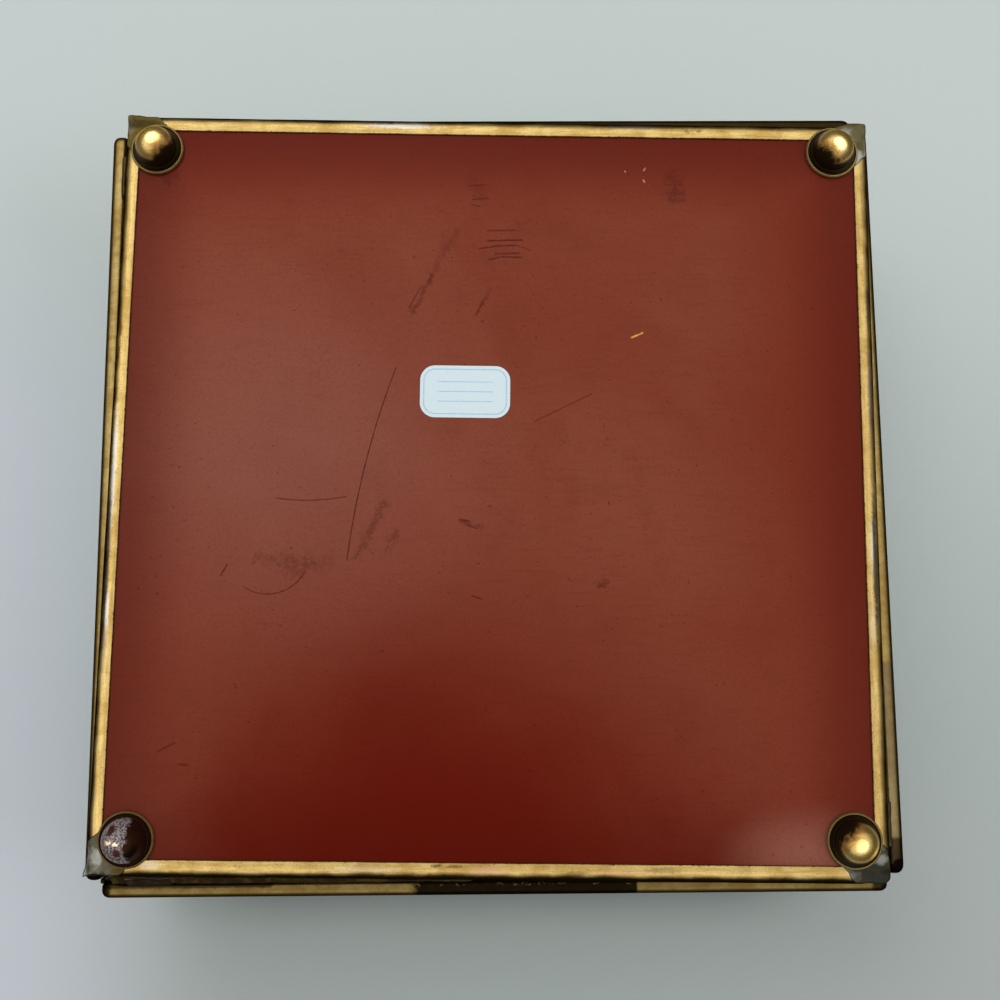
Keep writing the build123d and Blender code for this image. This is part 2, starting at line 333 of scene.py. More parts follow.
def makeWorld(look):
    world = bpy.data.worlds.new("room")
    bpy.context.scene.world = world
    world.use_nodes = True
    tree = world.node_tree
    tree.nodes.clear()
    way = addNode(tree, "ShaderNodeTexCoord").outputs["Generated"]
    rise = calc(tree, "ABSOLUTE", split(tree, way)["Z"])
    tilt = calc(tree, "MULTIPLY", calc(tree, "ARCCOSINE", rise), math.degrees(1.0))
    ray = addNode(tree, "ShaderNodeLightPath")
    mirrored = ranged(tree, tilt, *look["ringStart"], look["core"], look["ring"])
    mirrored = calc(tree, "MULTIPLY", mirrored, ranged(tree, tilt, *look["ringEnd"], 1.0, look["low"] / look["ring"]))
    drift = addNode(tree, "ShaderNodeVectorMath", {0: way, 1: look["drift"]}, operation="DOT_PRODUCT").outputs["Value"]
    mirrored = calc(tree, "MULTIPLY", mirrored, calc(tree, "ADD", drift, 1.0))
    level = addNode(tree, "ShaderNodeMix", {0: ray.outputs["Is Glossy Ray"], 2: look["soft"], 3: mirrored}).outputs[0]
    room = addNode(tree, "ShaderNodeBackground", {"Color": look["tone"], "Strength": level}).outputs[0]
    plain = addNode(tree, "ShaderNodeBackground", {"Color": look["seen"], "Strength": 1.0}).outputs[0]
    seen = calc(tree, "ADD", ray.outputs["Is Camera Ray"], ray.outputs["Is Transmission Ray"], True)
    mixed = addNode(tree, "ShaderNodeMixShader", {0: seen, 1: room, 2: plain}).outputs[0]
    addNode(tree, "ShaderNodeOutputWorld", {"Surface": mixed})


def makeLamps(looks):
    for name, look in looks.items():
        data = bpy.data.lights.new(name, "AREA")
        data.shape = "DISK"
        data.size = look["size"]
        data.energy = look["watts"]
        lamp = bpy.data.objects.new(name, data)
        bpy.context.scene.collection.objects.link(lamp)
        lamp.location = look["place"]
        lamp.rotation_euler = (Vector(look["aim"]) - lamp.location).to_track_quat("-Z", "Y").to_euler()
        lamp.visible_glossy = look["mirrored"]
        lamp.visible_camera = False


bpy.context.scene.view_settings.view_transform = "Standard"
makeStage(stageLook)
makeWorld(worldLook)
makeLamps(lamps)
print("stage, world and lamps are set")


# Materials

brassLook = {
    "bright": shade(240, 208, 132),
    "deep": shade(190, 150, 76),
    "tarnishAndShade": shade(44, 32, 12),
    "copper": shade(156, 110, 66),
    "coolReflection": shade(148, 146, 132),
    "grazing": shade(84, 74, 48),
    "speck": shade(52, 36, 18),
    "blotch": 6.0,
    "streak": 0.5,
    "rough": (0.24, 0.44),
}


def brassMaterial(name, look, along="X", edge=0.95, dull=0.0, marks=None):
    # wiped came: bright on the flats, darker round the edges with tarnish and painted shade, with streaks along the
    # strip;
    # marks(tree, colour, rough, metallic) lays a piece's own stains and painted light over it
    material, tree = newMaterial(name)
    place = objectPlace(tree)
    squeeze = {"X": (0.07, 1.0, 1.0), "Y": (1.0, 0.07, 1.0), "Z": (1.0, 1.0, 0.07), "none": (0.3, 0.3, 0.3)}[along]
    drawn = objectPlace(tree, squeeze)
    blotches = noise(tree, place, look["blotch"], 4.0, 0.6, 0.4)
    streaks = noise(tree, drawn, look["streak"], 3.0, 0.6)
    grain = noise(tree, place, 0.25, 2.0, 0.6)
    colour = tint(tree, ranged(tree, blotches, 0.36, 0.68, 0.0, 0.75), look["bright"], look["deep"])
    colour = tint(tree, ranged(tree, streaks, 0.42, 0.72, 0.0, 0.6), colour, look["deep"])
    patches = noise(tree, place, 7.0, 4.0, 0.7, 0.8)
    colour = tint(tree, ranged(tree, patches, 0.6, 0.74, 0.0, 0.6), colour, look["copper"])
    colour = tint(tree, ranged(tree, grain, 0.5, 0.72, 0.0, 0.36), colour, look["tarnishAndShade"])
    normal = addNode(tree, "ShaderNodeTexCoord").outputs["Normal"]
    parts = split(tree, normal)
    flat = calc(tree, "ABSOLUTE", parts["Z"])
    if along == "none":
        sideways = calc(tree, "MAXIMUM", calc(tree, "ABSOLUTE", parts["X"]), calc(tree, "ABSOLUTE", parts["Y"]))
        flat = calc(tree, "MAXIMUM", flat, sideways)
    # tarnish and painted shade: the rounded edges, turned away from straight up and down, go dark
    rounding = ranged(tree, flat, 0.62, 0.985, edge, 0.0, False)
    stretches = noise(tree, objectPlace(tree, squeeze), 3.5, 2.0, 0.5)
    # painted reflection: a bluish grey over stretches of the rounding
    coolReflection = calc(tree, "MULTIPLY", ranged(tree, rounding, 0.08, 0.4), ranged(tree, stretches, 0.52, 0.66, 0.0, 0.5))
    colour = tint(tree, coolReflection, colour, look["coolReflection"])
    rounding = calc(tree, "MULTIPLY", rounding, ranged(tree, stretches, 0.3, 0.7, 1.15, 0.8))
    rounding = calc(tree, "MULTIPLY", rounding, ranged(tree, blotches, 0.25, 0.6, 0.75, 1.05))
    rounding = calc(tree, "ADD", rounding, dull, True)
    colour = tint(tree, rounding, colour, look["tarnishAndShade"])
    specks = ranged(tree, noise(tree, place, 0.8, 5.0, 0.75), 0.63, 0.7)
    colour = tint(tree, calc(tree, "MULTIPLY", specks, 0.7), colour, look["speck"])
    low, high = look["rough"]
    rough = ranged(tree, calc(tree, "ADD", calc(tree, "MULTIPLY", streaks, 0.6), calc(tree, "MULTIPLY", rounding, 0.5)), 0.2, 0.8, low, high)
    rough = calc(tree, "ADD", rough, calc(tree, "MULTIPLY", specks, 0.2))
    dents = bump(tree, noise(tree, drawn, 1.4, 2.0, 0.5), 0.5, 0.12)
    skin = bump(tree, calc(tree, "ADD", calc(tree, "MULTIPLY", streaks, 0.7), calc(tree, "MULTIPLY", grain, 0.5)), 0.35, 0.03, dents)
    metallic = 1.0
    if marks:
        colour, rough, metallic = marks(tree, colour, rough, metallic)
    finishMaterial(tree, {
        "Base Color": colour, "Metallic": metallic, "Roughness": rough, "Normal": skin,
        "Specular Tint": look["grazing"],
    })
    return material


# the lower rails of the walls: burnt along stretches of the back rail while the casket was soldered together and black
# at their ends, with painted shade on their rounded sides, over the front rail and along the inner side of the back
# rail
scorchAndShadeLook = {
    "soot": shade(20, 13, 7),
    "below": 11.5,
    "olive": shade(76, 62, 28),
    "front": shade(36, 26, 12),
    "outer": 0.8,
    "burnt": shade(50, 34, 14),
    "lead": shade(116, 106, 92),
    "ends": (  # centre x, y, half size x, y in millimetres, strength
        (-75.6, 79.3, 2.4, 2.4, 0.9),
        (77.6, 77.0, 2.6, 3.4, 1.0),
        (74.2, 79.6, 2.2, 2.2, 0.85),
        (-77.4, -75.6, 2.4, 1.5, 0.35),
        (77.4, -75.6, 2.4, 1.8, 0.4),
    ),
    "band": (-75.5, -41.4),  # along the inner half of the back rail, from x to x
    "start": (-24.0, -15.0),
    "stretch": (-16.0, 27.0),  # over its whole width
    "inner": 78.8,
    "specks": 0.6,
}


def scorchesAndShade(tree, colour, rough, metallic):
    look = scorchAndShadeLook
    place = objectPlace(tree)
    parts = split(tree, place)
    ragged = calc(tree, "SUBTRACT", noise(tree, place, 1.1, 4.0, 0.7), 0.5)
    x = calc(tree, "ADD", parts["X"], calc(tree, "MULTIPLY", ragged, 3.0))
    y = calc(tree, "ADD", parts["Y"], calc(tree, "MULTIPLY", ragged, 0.7))
    slant = calc(tree, "ADD", parts["X"], calc(tree, "MULTIPLY", calc(tree, "SUBTRACT", parts["Y"], 77.4), 1.2))
    # painted shade: the rails fall off into the dark on both sides, the front one over its whole width
    below = ranged(tree, parts["Z"], look["below"] + 1.0, look["below"])
    normal = split(tree, addNode(tree, "ShaderNodeTexCoord").outputs["Normal"])
    below = calc(tree, "MULTIPLY", below, ranged(tree, normal["Z"], 0.1, -0.35))
    fall = ranged(tree, normal["Z"], -0.97, -0.5, 0.0, 0.6, False)
    colour = tint(tree, calc(tree, "MULTIPLY", fall, below), colour, look["olive"])
    leaden = calc(tree, "MULTIPLY", ranged(tree, x, 74.0, 75.0), ranged(tree, y, 36.6, 37.4))
    colour = tint(tree, calc(tree, "MULTIPLY", leaden, calc(tree, "MULTIPLY", below, 0.5)), colour, look["lead"])
    side = calc(tree, "ABSOLUTE", parts["X"])
    side = calc(tree, "ADD", side, calc(tree, "MULTIPLY", ragged, 0.5))
    outer = calc(tree, "MAXIMUM", ranged(tree, side, 76.9, 78.1), ranged(tree, y, 79.5, 80.3))
    outer = calc(tree, "MAXIMUM", outer, ranged(tree, side, 76.3, 75.6, 0.0, 0.8))
    colour = tint(tree, calc(tree, "MULTIPLY", below, calc(tree, "MULTIPLY", outer, look["outer"])), colour, look["olive"])
    colour = tint(tree, calc(tree, "MULTIPLY", below, ranged(tree, parts["Y"], -72.4, -73.2, 0.0, 0.9)), colour, look["front"])
    start, end = look["band"]
    mask = calc(tree, "MULTIPLY", ranged(tree, slant, end + 0.6, end - 0.4), ranged(tree, y, look["inner"] + 0.25, look["inner"] - 0.3))
    mask = calc(tree, "MULTIPLY", mask, calc(tree, "MULTIPLY", below, ranged(tree, parts["Y"], 70.0, 71.0)))
    colour = tint(tree, calc(tree, "MULTIPLY", mask, 0.85), colour, look["burnt"])
    # painted shade along the inner side of the back rail, in the gap beside the tray
    mask = ranged(tree, y, look["inner"] - 0.6, look["inner"] - 1.3, 0.0, 0.8)
    start, end = look["start"]
    lead = calc(tree, "MULTIPLY", ranged(tree, x, start, start + 2.0), ranged(tree, x, end + 1.0, end))
    lead = calc(tree, "MULTIPLY", lead, ranged(tree, y, look["inner"] - 0.5, look["inner"] - 0.8))
    mask = calc(tree, "MAXIMUM", mask, lead)
    start, end = look["stretch"]
    stretch = calc(tree, "MULTIPLY", ranged(tree, x, start - 1.0, start + 1.5), ranged(tree, parts["X"], end + 0.2, end - 0.2))
    glints = ranged(tree, noise(tree, place, 0.7, 3.0, 0.7), 0.57, 0.64, 0.0, look["specks"])
    line = ranged(tree, calc(tree, "ABSOLUTE", calc(tree, "SUBTRACT", parts["Y"], look["inner"] - 0.4)), 0.55, 0.2)
    stretch = calc(tree, "MULTIPLY", stretch, calc(tree, "SUBTRACT", 0.97, calc(tree, "MULTIPLY", glints, line)))
    mask = calc(tree, "MAXIMUM", mask, stretch)
    mask = calc(tree, "MULTIPLY", mask, ranged(tree, parts["Y"], 70.0, 71.0))
    for centreX, centreY, halfX, halfY, strength in look["ends"]:
        reach = length(tree, spotPlace(tree, (centreX, centreY, 9.0), (halfX, halfY, 6.0)))
        reach = calc(tree, "ADD", reach, calc(tree, "MULTIPLY", ragged, 0.8))
        mask = calc(tree, "MAXIMUM", mask, ranged(tree, reach, 1.1, 0.7, 0.0, strength))
    mask = calc(tree, "MULTIPLY", mask, below)
    colour = tint(tree, mask, colour, look["soot"])
    rough = calc(tree, "ADD", rough, calc(tree, "MULTIPLY", mask, 0.15), True)
    return colour, rough, metallic


# each foot is painted dark on the side towards the middle, a painted dark reflection with a warmer border, and darker
# round the ball's edge
patinaAndShadeLook = {
    "brown": shade(10, 5, 2),
    "copper": shade(168, 108, 44),
    "reach": (0.22, 0.72),
    "grooveAndEdgeShade": (3.15, 3.85, 4.95, 5.1),  # radii between which the ball's edge carries painted shade, and the hollow round its root and the flange are black with dirt
    "rim": shade(50, 39, 18),
    "crust": (shade(146, 137, 139), shade(58, 37, 35)),
    "crustEdge": 1.2,
    "smooth": shade(34, 15, 8),
    "spots": ((-1.5, -2.3, 0.75, 0.95), (-0.3, 1.8, 0.85, 0.8)),
    "spotColour": shade(60, 12, 8),
    "sparkles": ((-1.95, -0.1, 0.7, 0.5), (-0.45, 0.15, 0.8, 0.45)),
    "sparkleColour": shade(255, 226, 190),
}


def patinaAndShade(centre, inward, crusted):
    look = patinaAndShadeLook

    def marks(tree, colour, rough, metallic):
        place = objectPlace(tree)
        around = spotPlace(tree, centre)
        away = addNode(tree, "ShaderNodeVectorMath", {0: around}, operation="NORMALIZE").outputs[0]
        turned = addNode(tree, "ShaderNodeVectorMath", {0: away, 1: inward}, operation="DOT_PRODUCT").outputs["Value"]
        cloud = calc(tree, "SUBTRACT", noise(tree, place, 1.8, 4.0, 0.65, 0.6), 0.5)
        turned = calc(tree, "ADD", turned, calc(tree, "MULTIPLY", cloud, 0.8))
        level = addNode(tree, "ShaderNodeVectorMath", {0: around, 1: (1.0, 1.0, 0.0)}, operation="MULTIPLY").outputs[0]
        radius = length(tree, level)
        onBall = ranged(tree, radius, look["grooveAndEdgeShade"][3], look["grooveAndEdgeShade"][2])
        # painted reflection: warmer, then dark, on the side towards the middle
        warm = ranged(tree, turned, look["reach"][0] - 0.3, look["reach"][1] - 0.2, 0.0, 0.7)
        colour = tint(tree, calc(tree, "MULTIPLY", warm, onBall), colour, look["copper"])
        dark = calc(tree, "MULTIPLY", ranged(tree, turned, *look["reach"], 0.0, 0.99), onBall)
        # painted shade on the ball's edge; dirt in the hollow round its root
        grooveAndEdgeShade = calc(tree, "MULTIPLY", ranged(tree, radius, look["grooveAndEdgeShade"][0], look["grooveAndEdgeShade"][1], 0.0, 0.985), onBall)
        dark = calc(tree, "MAXIMUM", dark, grooveAndEdgeShade)
        colour = tint(tree, dark, colour, look["brown"])
        rim = ranged(tree, radius, look["grooveAndEdgeShade"][2], look["grooveAndEdgeShade"][3], 0.0, 0.9)
        colour = tint(tree, rim, colour, look["rim"])
        dark = calc(tree, "MAXIMUM", dark, rim)
        rough = calc(tree, "ADD", rough, calc(tree, "MULTIPLY", dark, 0.3))
        metallic = ranged(tree, dark, 0.0, 1.0, 1.0, 0.15)
        if crusted:
            parts = split(tree, around)
            fine = noise(tree, place, 0.36, 3.0, 0.65)
            edge = calc(tree, "ADD", parts["X"], calc(tree, "MULTIPLY", cloud, 3.0))
            crust = calc(tree, "MULTIPLY", ranged(tree, edge, look["crustEdge"] + 0.4, look["crustEdge"] - 0.2), onBall)
            crust = calc(tree, "MULTIPLY", crust, ranged(tree, radius, 4.3, 4.0))
            colour = tint(tree, calc(tree, "MULTIPLY", onBall, 0.97), colour, look["smooth"])
            skin = tint(tree, ranged(tree, fine, 0.44, 0.6), *look["crust"])
            skin = tint(tree, ranged(tree, noise(tree, place, 0.35, 2.0, 0.8), 0.55, 0.68, 0.0, 0.75), skin, shade(60, 36, 34))
            for x, y, halfX, halfY in look["spots"]:
                off = addNode(tree, "ShaderNodeVectorMath", {0: level, 1: (x, y, 0.0)}, operation="SUBTRACT").outputs[0]
                off = addNode(tree, "ShaderNodeVectorMath", {0: off, 1: (halfX, halfY, 1.0)}, operation="DIVIDE").outputs[0]
                reach = calc(tree, "ADD", length(tree, off), calc(tree, "MULTIPLY", cloud, 1.6))
                skin = tint(tree, ranged(tree, reach, 1.1, 0.7, 0.0, 0.9), skin, look["spotColour"])
            for x, y, halfX, halfY in look["sparkles"]:
                off = addNode(tree, "ShaderNodeVectorMath", {0: level, 1: (x, y, 0.0)}, operation="SUBTRACT").outputs[0]
                off = addNode(tree, "ShaderNodeVectorMath", {0: off, 1: (halfX, halfY, 1.0)}, operation="DIVIDE").outputs[0]
                reach = calc(tree, "ADD", length(tree, off), calc(tree, "MULTIPLY", calc(tree, "SUBTRACT", fine, 0.5), 3.0))
                skin = tint(tree, ranged(tree, reach, 1.0, 0.5), skin, look["sparkleColour"])
            colour = tint(tree, crust, colour, skin)
            metallic = calc(tree, "MULTIPLY", metallic, ranged(tree, crust, 0.0, 1.0, 1.0, 0.55))
            rough = calc(tree, "ADD", rough, calc(tree, "MULTIPLY", crust, 0.2))
        return colour, rough, metallic

    return marks


solderLook = {
    "tones": (shade(104, 91, 48), shade(106, 99, 72), shade(100, 100, 86), shade(54, 56, 48)),
    "worn": (0.15, 0.7, 0.75, 0.45),  # how far each corner is lightened in clouds, a painted highlight
    "bright": shade(176, 178, 170),
    "stain": shade(84, 68, 26),
    "soot": shade(30, 26, 18),
    "spots": (  # centre x, y, half size x, y in millimetres, tone, strength
        # the bright spots are painted highlights
        (-75.3, 72.6, 1.0, 2.0, "bright", 0.8),
        (-71.2, 75.2, 2.2, 1.1, "stain", 0.85),
        (-74.6, 76.6, 3.2, 1.3, "soot", 0.85),
        (-76.9, 73.0, 0.5, 4.5, "soot", 0.5),
        (75.6, -66.0, 0.9, 1.8, "bright", 0.9),
        (72.0, -73.2, 2.6, 1.0, "stain", 0.8),
        (-72.5, -73.8, 4.5, 0.9, "soot", 0.5),
        (-76.0, -70.5, 0.8, 3.5, "soot", 0.45),
        (-70.0, -72.0, 2.0, 1.0, "stain", 0.7),
        (73.2, 74.2, 1.3, 1.0, "bright", 0.6),
        (75.0, 76.2, 2.0, 1.0, "soot", 0.5),
    ),
    "edge": 0.85,
    "metallic": 0.9,
    "rough": (0.42, 0.24),
    "sootBelow": 0.0,
}
lidSolderLook = {
    **solderLook,
    "tones": (shade(132, 129, 112), shade(126, 124, 110), shade(130, 127, 108), shade(122, 118, 100)),
    "worn": (0.6, 0.6, 0.6, 0.6),
    "spots": (),
    "edge": 0.1,
    "metallic": 0.75,
}
tackLook = {
    **solderLook,
    "tones": (shade(92, 76, 38), shade(70, 56, 28), shade(38, 27, 13), shade(80, 66, 32)),
    "worn": (0.1, 0.1, 0.0, 0.1),
    "spots": (),
    "metallic": 0.0,
    "rough": (0.8, 0.6),
}
sootyLook = {
    **solderLook,
    "tones": (shade(92, 86, 66),) * 4,
    "worn": (0.25,) * 4,
    "spots": (),
    "metallic": 0.6,
    "sootBelow": 14.0,
}


def solderMaterial(name, look):
    # lead-tin solder gone grey, another tone in each corner, with flux stains and soot, bright clouds and spots as
    # painted highlights, and painted shade on its sloping sides
    material, tree = newMaterial(name)
    place = objectPlace(tree)
    parts = split(tree, place)
    right = ranged(tree, parts["X"], -20.0, 20.0)
    back = ranged(tree, parts["Y"], -20.0, 20.0)
    frontLeft, frontRight, backLeft, backRight = look["tones"]
    colour = tint(tree, back, tint(tree, right, frontLeft, frontRight), tint(tree, right, backLeft, backRight))
    frontLeft, frontRight, backLeft, backRight = look["worn"]
    worn = addNode(tree, "ShaderNodeMix", {0: right, 2: frontLeft, 3: frontRight}).outputs[0]
    wornBack = addNode(tree, "ShaderNodeMix", {0: right, 2: backLeft, 3: backRight}).outputs[0]
    worn = addNode(tree, "ShaderNodeMix", {0: back, 2: worn, 3: wornBack}).outputs[0]
    clouds = noise(tree, place, 4.2, 2.0, 0.45, 0.3)
    fine = noise(tree, place, 0.6, 4.0, 0.65)
    stain = ranged(tree, noise(tree, place, 4.0, 3.0, 0.6, 1.0), 0.45, 0.62, 0.0, 0.4)
    colour = tint(tree, stain, colour, look["stain"])
    colour = tint(tree, calc(tree, "MULTIPLY", ranged(tree, clouds, 0.5, 0.72), worn), colour, look["bright"])
    ragged = calc(tree, "SUBTRACT", noise(tree, place, 1.6, 3.0, 0.6), 0.5)
    for x, y, halfX, halfY, tone, strength in look["spots"]:
        reach = length(tree, spotPlace(tree, (x, y, 5.0), (halfX, halfY, 6.0)))
        reach = calc(tree, "ADD", reach, calc(tree, "MULTIPLY", ragged, 1.6))
        colour = tint(tree, ranged(tree, reach, 1.3, 0.5, 0.0, strength), colour, look[tone])
    normal = split(tree, addNode(tree, "ShaderNodeTexCoord").outputs["Normal"])
    # painted shade on the sloping sides; dark pits and soot low down are the solder's own
    edge = ranged(tree, calc(tree, "ABSOLUTE", normal["Z"]), 0.93, 0.5, 0.0, look["edge"])
    edge = calc(tree, "MAXIMUM", edge, ranged(tree, fine, 0.58, 0.7, 0.0, 0.5))
    edge = calc(tree, "MAXIMUM", edge, ranged(tree, parts["Z"], look["sootBelow"] + 6.0, look["sootBelow"], 0.0, 0.95))
    colour = tint(tree, edge, colour, look["soot"])
    rough = ranged(tree, clouds, 0.35, 0.65, *look["rough"])
    pits = bump(tree, fine, 0.2, 0.05)
    finishMaterial(tree, {
        "Base Color": colour, "Metallic": look["metallic"], "Roughness": rough, "Normal": pits,
        "Specular Tint": look["soot"],
    })
    return material


paintLook = {
    "red": shade(129, 64, 45),
    # painted sheen: a lighter haze over the left middle of the paint
    "pale": shade(142, 92, 80),
    "paintedHazePlace": (-44.0, -4.0),
    "paintedHazeSize": (42.0, 36.0),
    "margin": shade(82, 13, 3),
    "deep": shade(112, 36, 15),
    "shaded": shade(94, 12, 2),
    "paintedSheen": shade(156, 98, 82),
    "brown": shade(104, 50, 32),
    "smudge": shade(72, 19, 10),
    "fleck": shade(222, 170, 84),
    "streak": shade(112, 46, 28),
    "mirror": 0.11,
    "shadedPlace": (-12.0, 71.0),
    "shadedSize": (58.0, 48.0),
    "paintedSheenPlace": (59.0, 73.0),
    "paintedSheenSize": (14.0, 8.0),
    "rough": (0.27, 0.36),
    "smudges": (  # from x, y to x, y and half width in millimetres, strength
        (-16.0, -33.6, -12.4, -41.0, 0.6, 0.5),
        (-12.6, -40.6, -7.4, -50.5, 0.75, 0.3),
        (-3.3, -33.0, -0.5, -38.2, 0.45, 0.4),
        (-3.5, -61.0, -1.8, -58.0, 1.5, 0.22),
        (-0.5, -45.5, 5.5, -51.0, 2.4, 0.14),
        (-27.0, 16.0, -21.5, 5.0, 0.9, 0.4),
        (-21.2, 14.5, -19.0, 11.0, 0.8, 0.35),
        (-46.5, 15.8, -36.0, 17.2, 1.2, 0.28),
        (-40.0, 18.5, -33.0, 17.0, 1.8, 0.2),
        (-6.8, 9.0, -2.0, 10.0, 0.6, 0.45),
        (37.2, -62.0, 38.0, -57.5, 1.6, 0.5),
        (21.0, 21.5, 21.6, 21.3, 0.8, 0.6),
        (-8.0, -18.5, -5.0, -18.0, 0.9, 0.3),
        (-68.0, -72.0, -66.0, -62.0, 2.2, 0.5),
    ),
    "scratches": (  # the same, thin and dark
        (-53.4, 19.3, -52.2, 17.3, 0.2, 0.85),
        (-4.4, -60.3, -1.6, -60.5, 0.18, 0.75),
        (-3.9, -57.4, -0.9, -57.6, 0.18, 0.75),
        (-4.2, -56.4, -2.6, -55.9, 0.2, 0.6),
        (-0.8, -50.7, 4.6, -50.8, 0.2, 0.7),
        (-0.8, -48.6, 6.2, -48.7, 0.22, 0.9),
        (-2.6, -46.9, 1.2, -47.5, 0.2, 0.9),
        (1.2, -47.5, 5.0, -47.6, 0.2, 0.8),
        (5.0, -47.6, 7.8, -46.5, 0.16, 0.6),
        (0.6, -45.8, 5.6, -45.9, 0.2, 0.75),
        (-0.6, -44.6, 2.2, -45.2, 0.18, 0.8),
        (2.2, -45.2, 5.9, -45.0, 0.2, 0.8),
        (-16.8, -34.6, -14.6, -38.6, 0.2, 0.6),
        (-3.0, -33.6, -2.0, -35.6, 0.2, 0.7),
        (8.3, -11.1, 19.8, -16.6, 0.15, 0.65),
        (-6.8, 8.6, -4.9, 8.9, 0.2, 0.8),
        (-5.4, 9.6, -3.4, 10.4, 0.2, 0.7),
        (-4.4, 23.6, -2.6, 24.2, 0.2, 0.8),
        (-60.4, 55.5, -58.8, 55.5, 0.25, 0.7),
        (-64.6, 53.0, -61.4, 51.4, 0.2, 0.8),
    ),
    "curves": (  # from, through and to, half width, strength
        ((-19.4, -22.1), (-26.4, 2.0), (-28.8, 16.5), 0.16, 0.85),
        ((-42.9, 4.1), (-36.5, 4.6), (-29.1, 3.9), 0.15, 0.75),
        ((-48.8, 21.6), (-42.3, 22.8), (-37.1, 18.9), 0.15, 0.75),
    ),
    "flecks": (
        (28.0, -28.2, 30.2, -29.1, 0.22, 1.0),
        (31.3, -63.6, 31.6, -64.0, 0.2, 0.8),
        (31.2, -61.4, 31.4, -61.0, 0.2, 0.7),
        (27.4, -63.4, 27.5, -63.2, 0.15, 0.7),
    ),
}


def stroke(tree, start, end, halfWidth, ragged, uneven):
    # how far a point is from a line between two points, in half widths, unevenly
    x, y = end[0] - start[0], end[1] - start[1]
    middle = ((start[0] + end[0]) / 2, (start[1] + end[1]) / 2, 0.0)
    parts = split(tree, spotPlace(tree, middle, turn=math.degrees(math.atan2(y, x))))
    past = calc(tree, "SUBTRACT", calc(tree, "ABSOLUTE", parts["X"]), math.hypot(x, y) / 2)
    past = calc(tree, "MAXIMUM", past, 0.0)
    reach = addNode(tree, "ShaderNodeCombineXYZ", {0: past, 1: parts["Y"]}).outputs[0]
    reach = calc(tree, "DIVIDE", length(tree, reach), halfWidth)
    return calc(tree, "ADD", reach, calc(tree, "MULTIPLY", ragged, uneven))


def curvedStroke(tree, start, through, end, halfWidth, ragged, uneven):
    # the same for the arc through three points
    (ax, ay), (bx, by), (cx, cy) = start, through, end
    twice = 2 * (ax * (by - cy) + bx * (cy - ay) + cx * (ay - by))
    a, b, c = ax * ax + ay * ay, bx * bx + by * by, cx * cx + cy * cy
    centre = ((a * (by - cy) + b * (cy - ay) + c * (ay - by)) / twice, (a * (cx - bx) + b * (ax - cx) + c * (bx - ax)) / twice)
    radius = math.dist(centre, start)
    around = addNode(tree, "ShaderNodeVectorMath", {0: spotPlace(tree, (*centre, 0.0)), 1: (1.0, 1.0, 0.0)}, operation="MULTIPLY").outputs[0]
    off = calc(tree, "SUBTRACT", length(tree, around), radius)
    chord = spotPlace(tree, ((ax + cx) / 2, (ay + cy) / 2, 0.0), turn=math.degrees(math.atan2(cy - ay, cx - ax)))
    parts = split(tree, chord)
    past = calc(tree, "SUBTRACT", calc(tree, "ABSOLUTE", parts["X"]), math.dist(start, end) / 2)
    across = calc(tree, "SUBTRACT", calc(tree, "ABSOLUTE", parts["Y"]), radius)
    past = calc(tree, "MAXIMUM", calc(tree, "MAXIMUM", past, across), 0.0)
    reach = addNode(tree, "ShaderNodeCombineXYZ", {0: past, 1: off}).outputs[0]
    reach = calc(tree, "DIVIDE", length(tree, reach), halfWidth)
    return calc(tree, "ADD", reach, calc(tree, "MULTIPLY", ragged, uneven))


trayTurn = 1.02
trayLow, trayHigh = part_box("base_mirror")
trayCentre = (trayLow + trayHigh) / 2


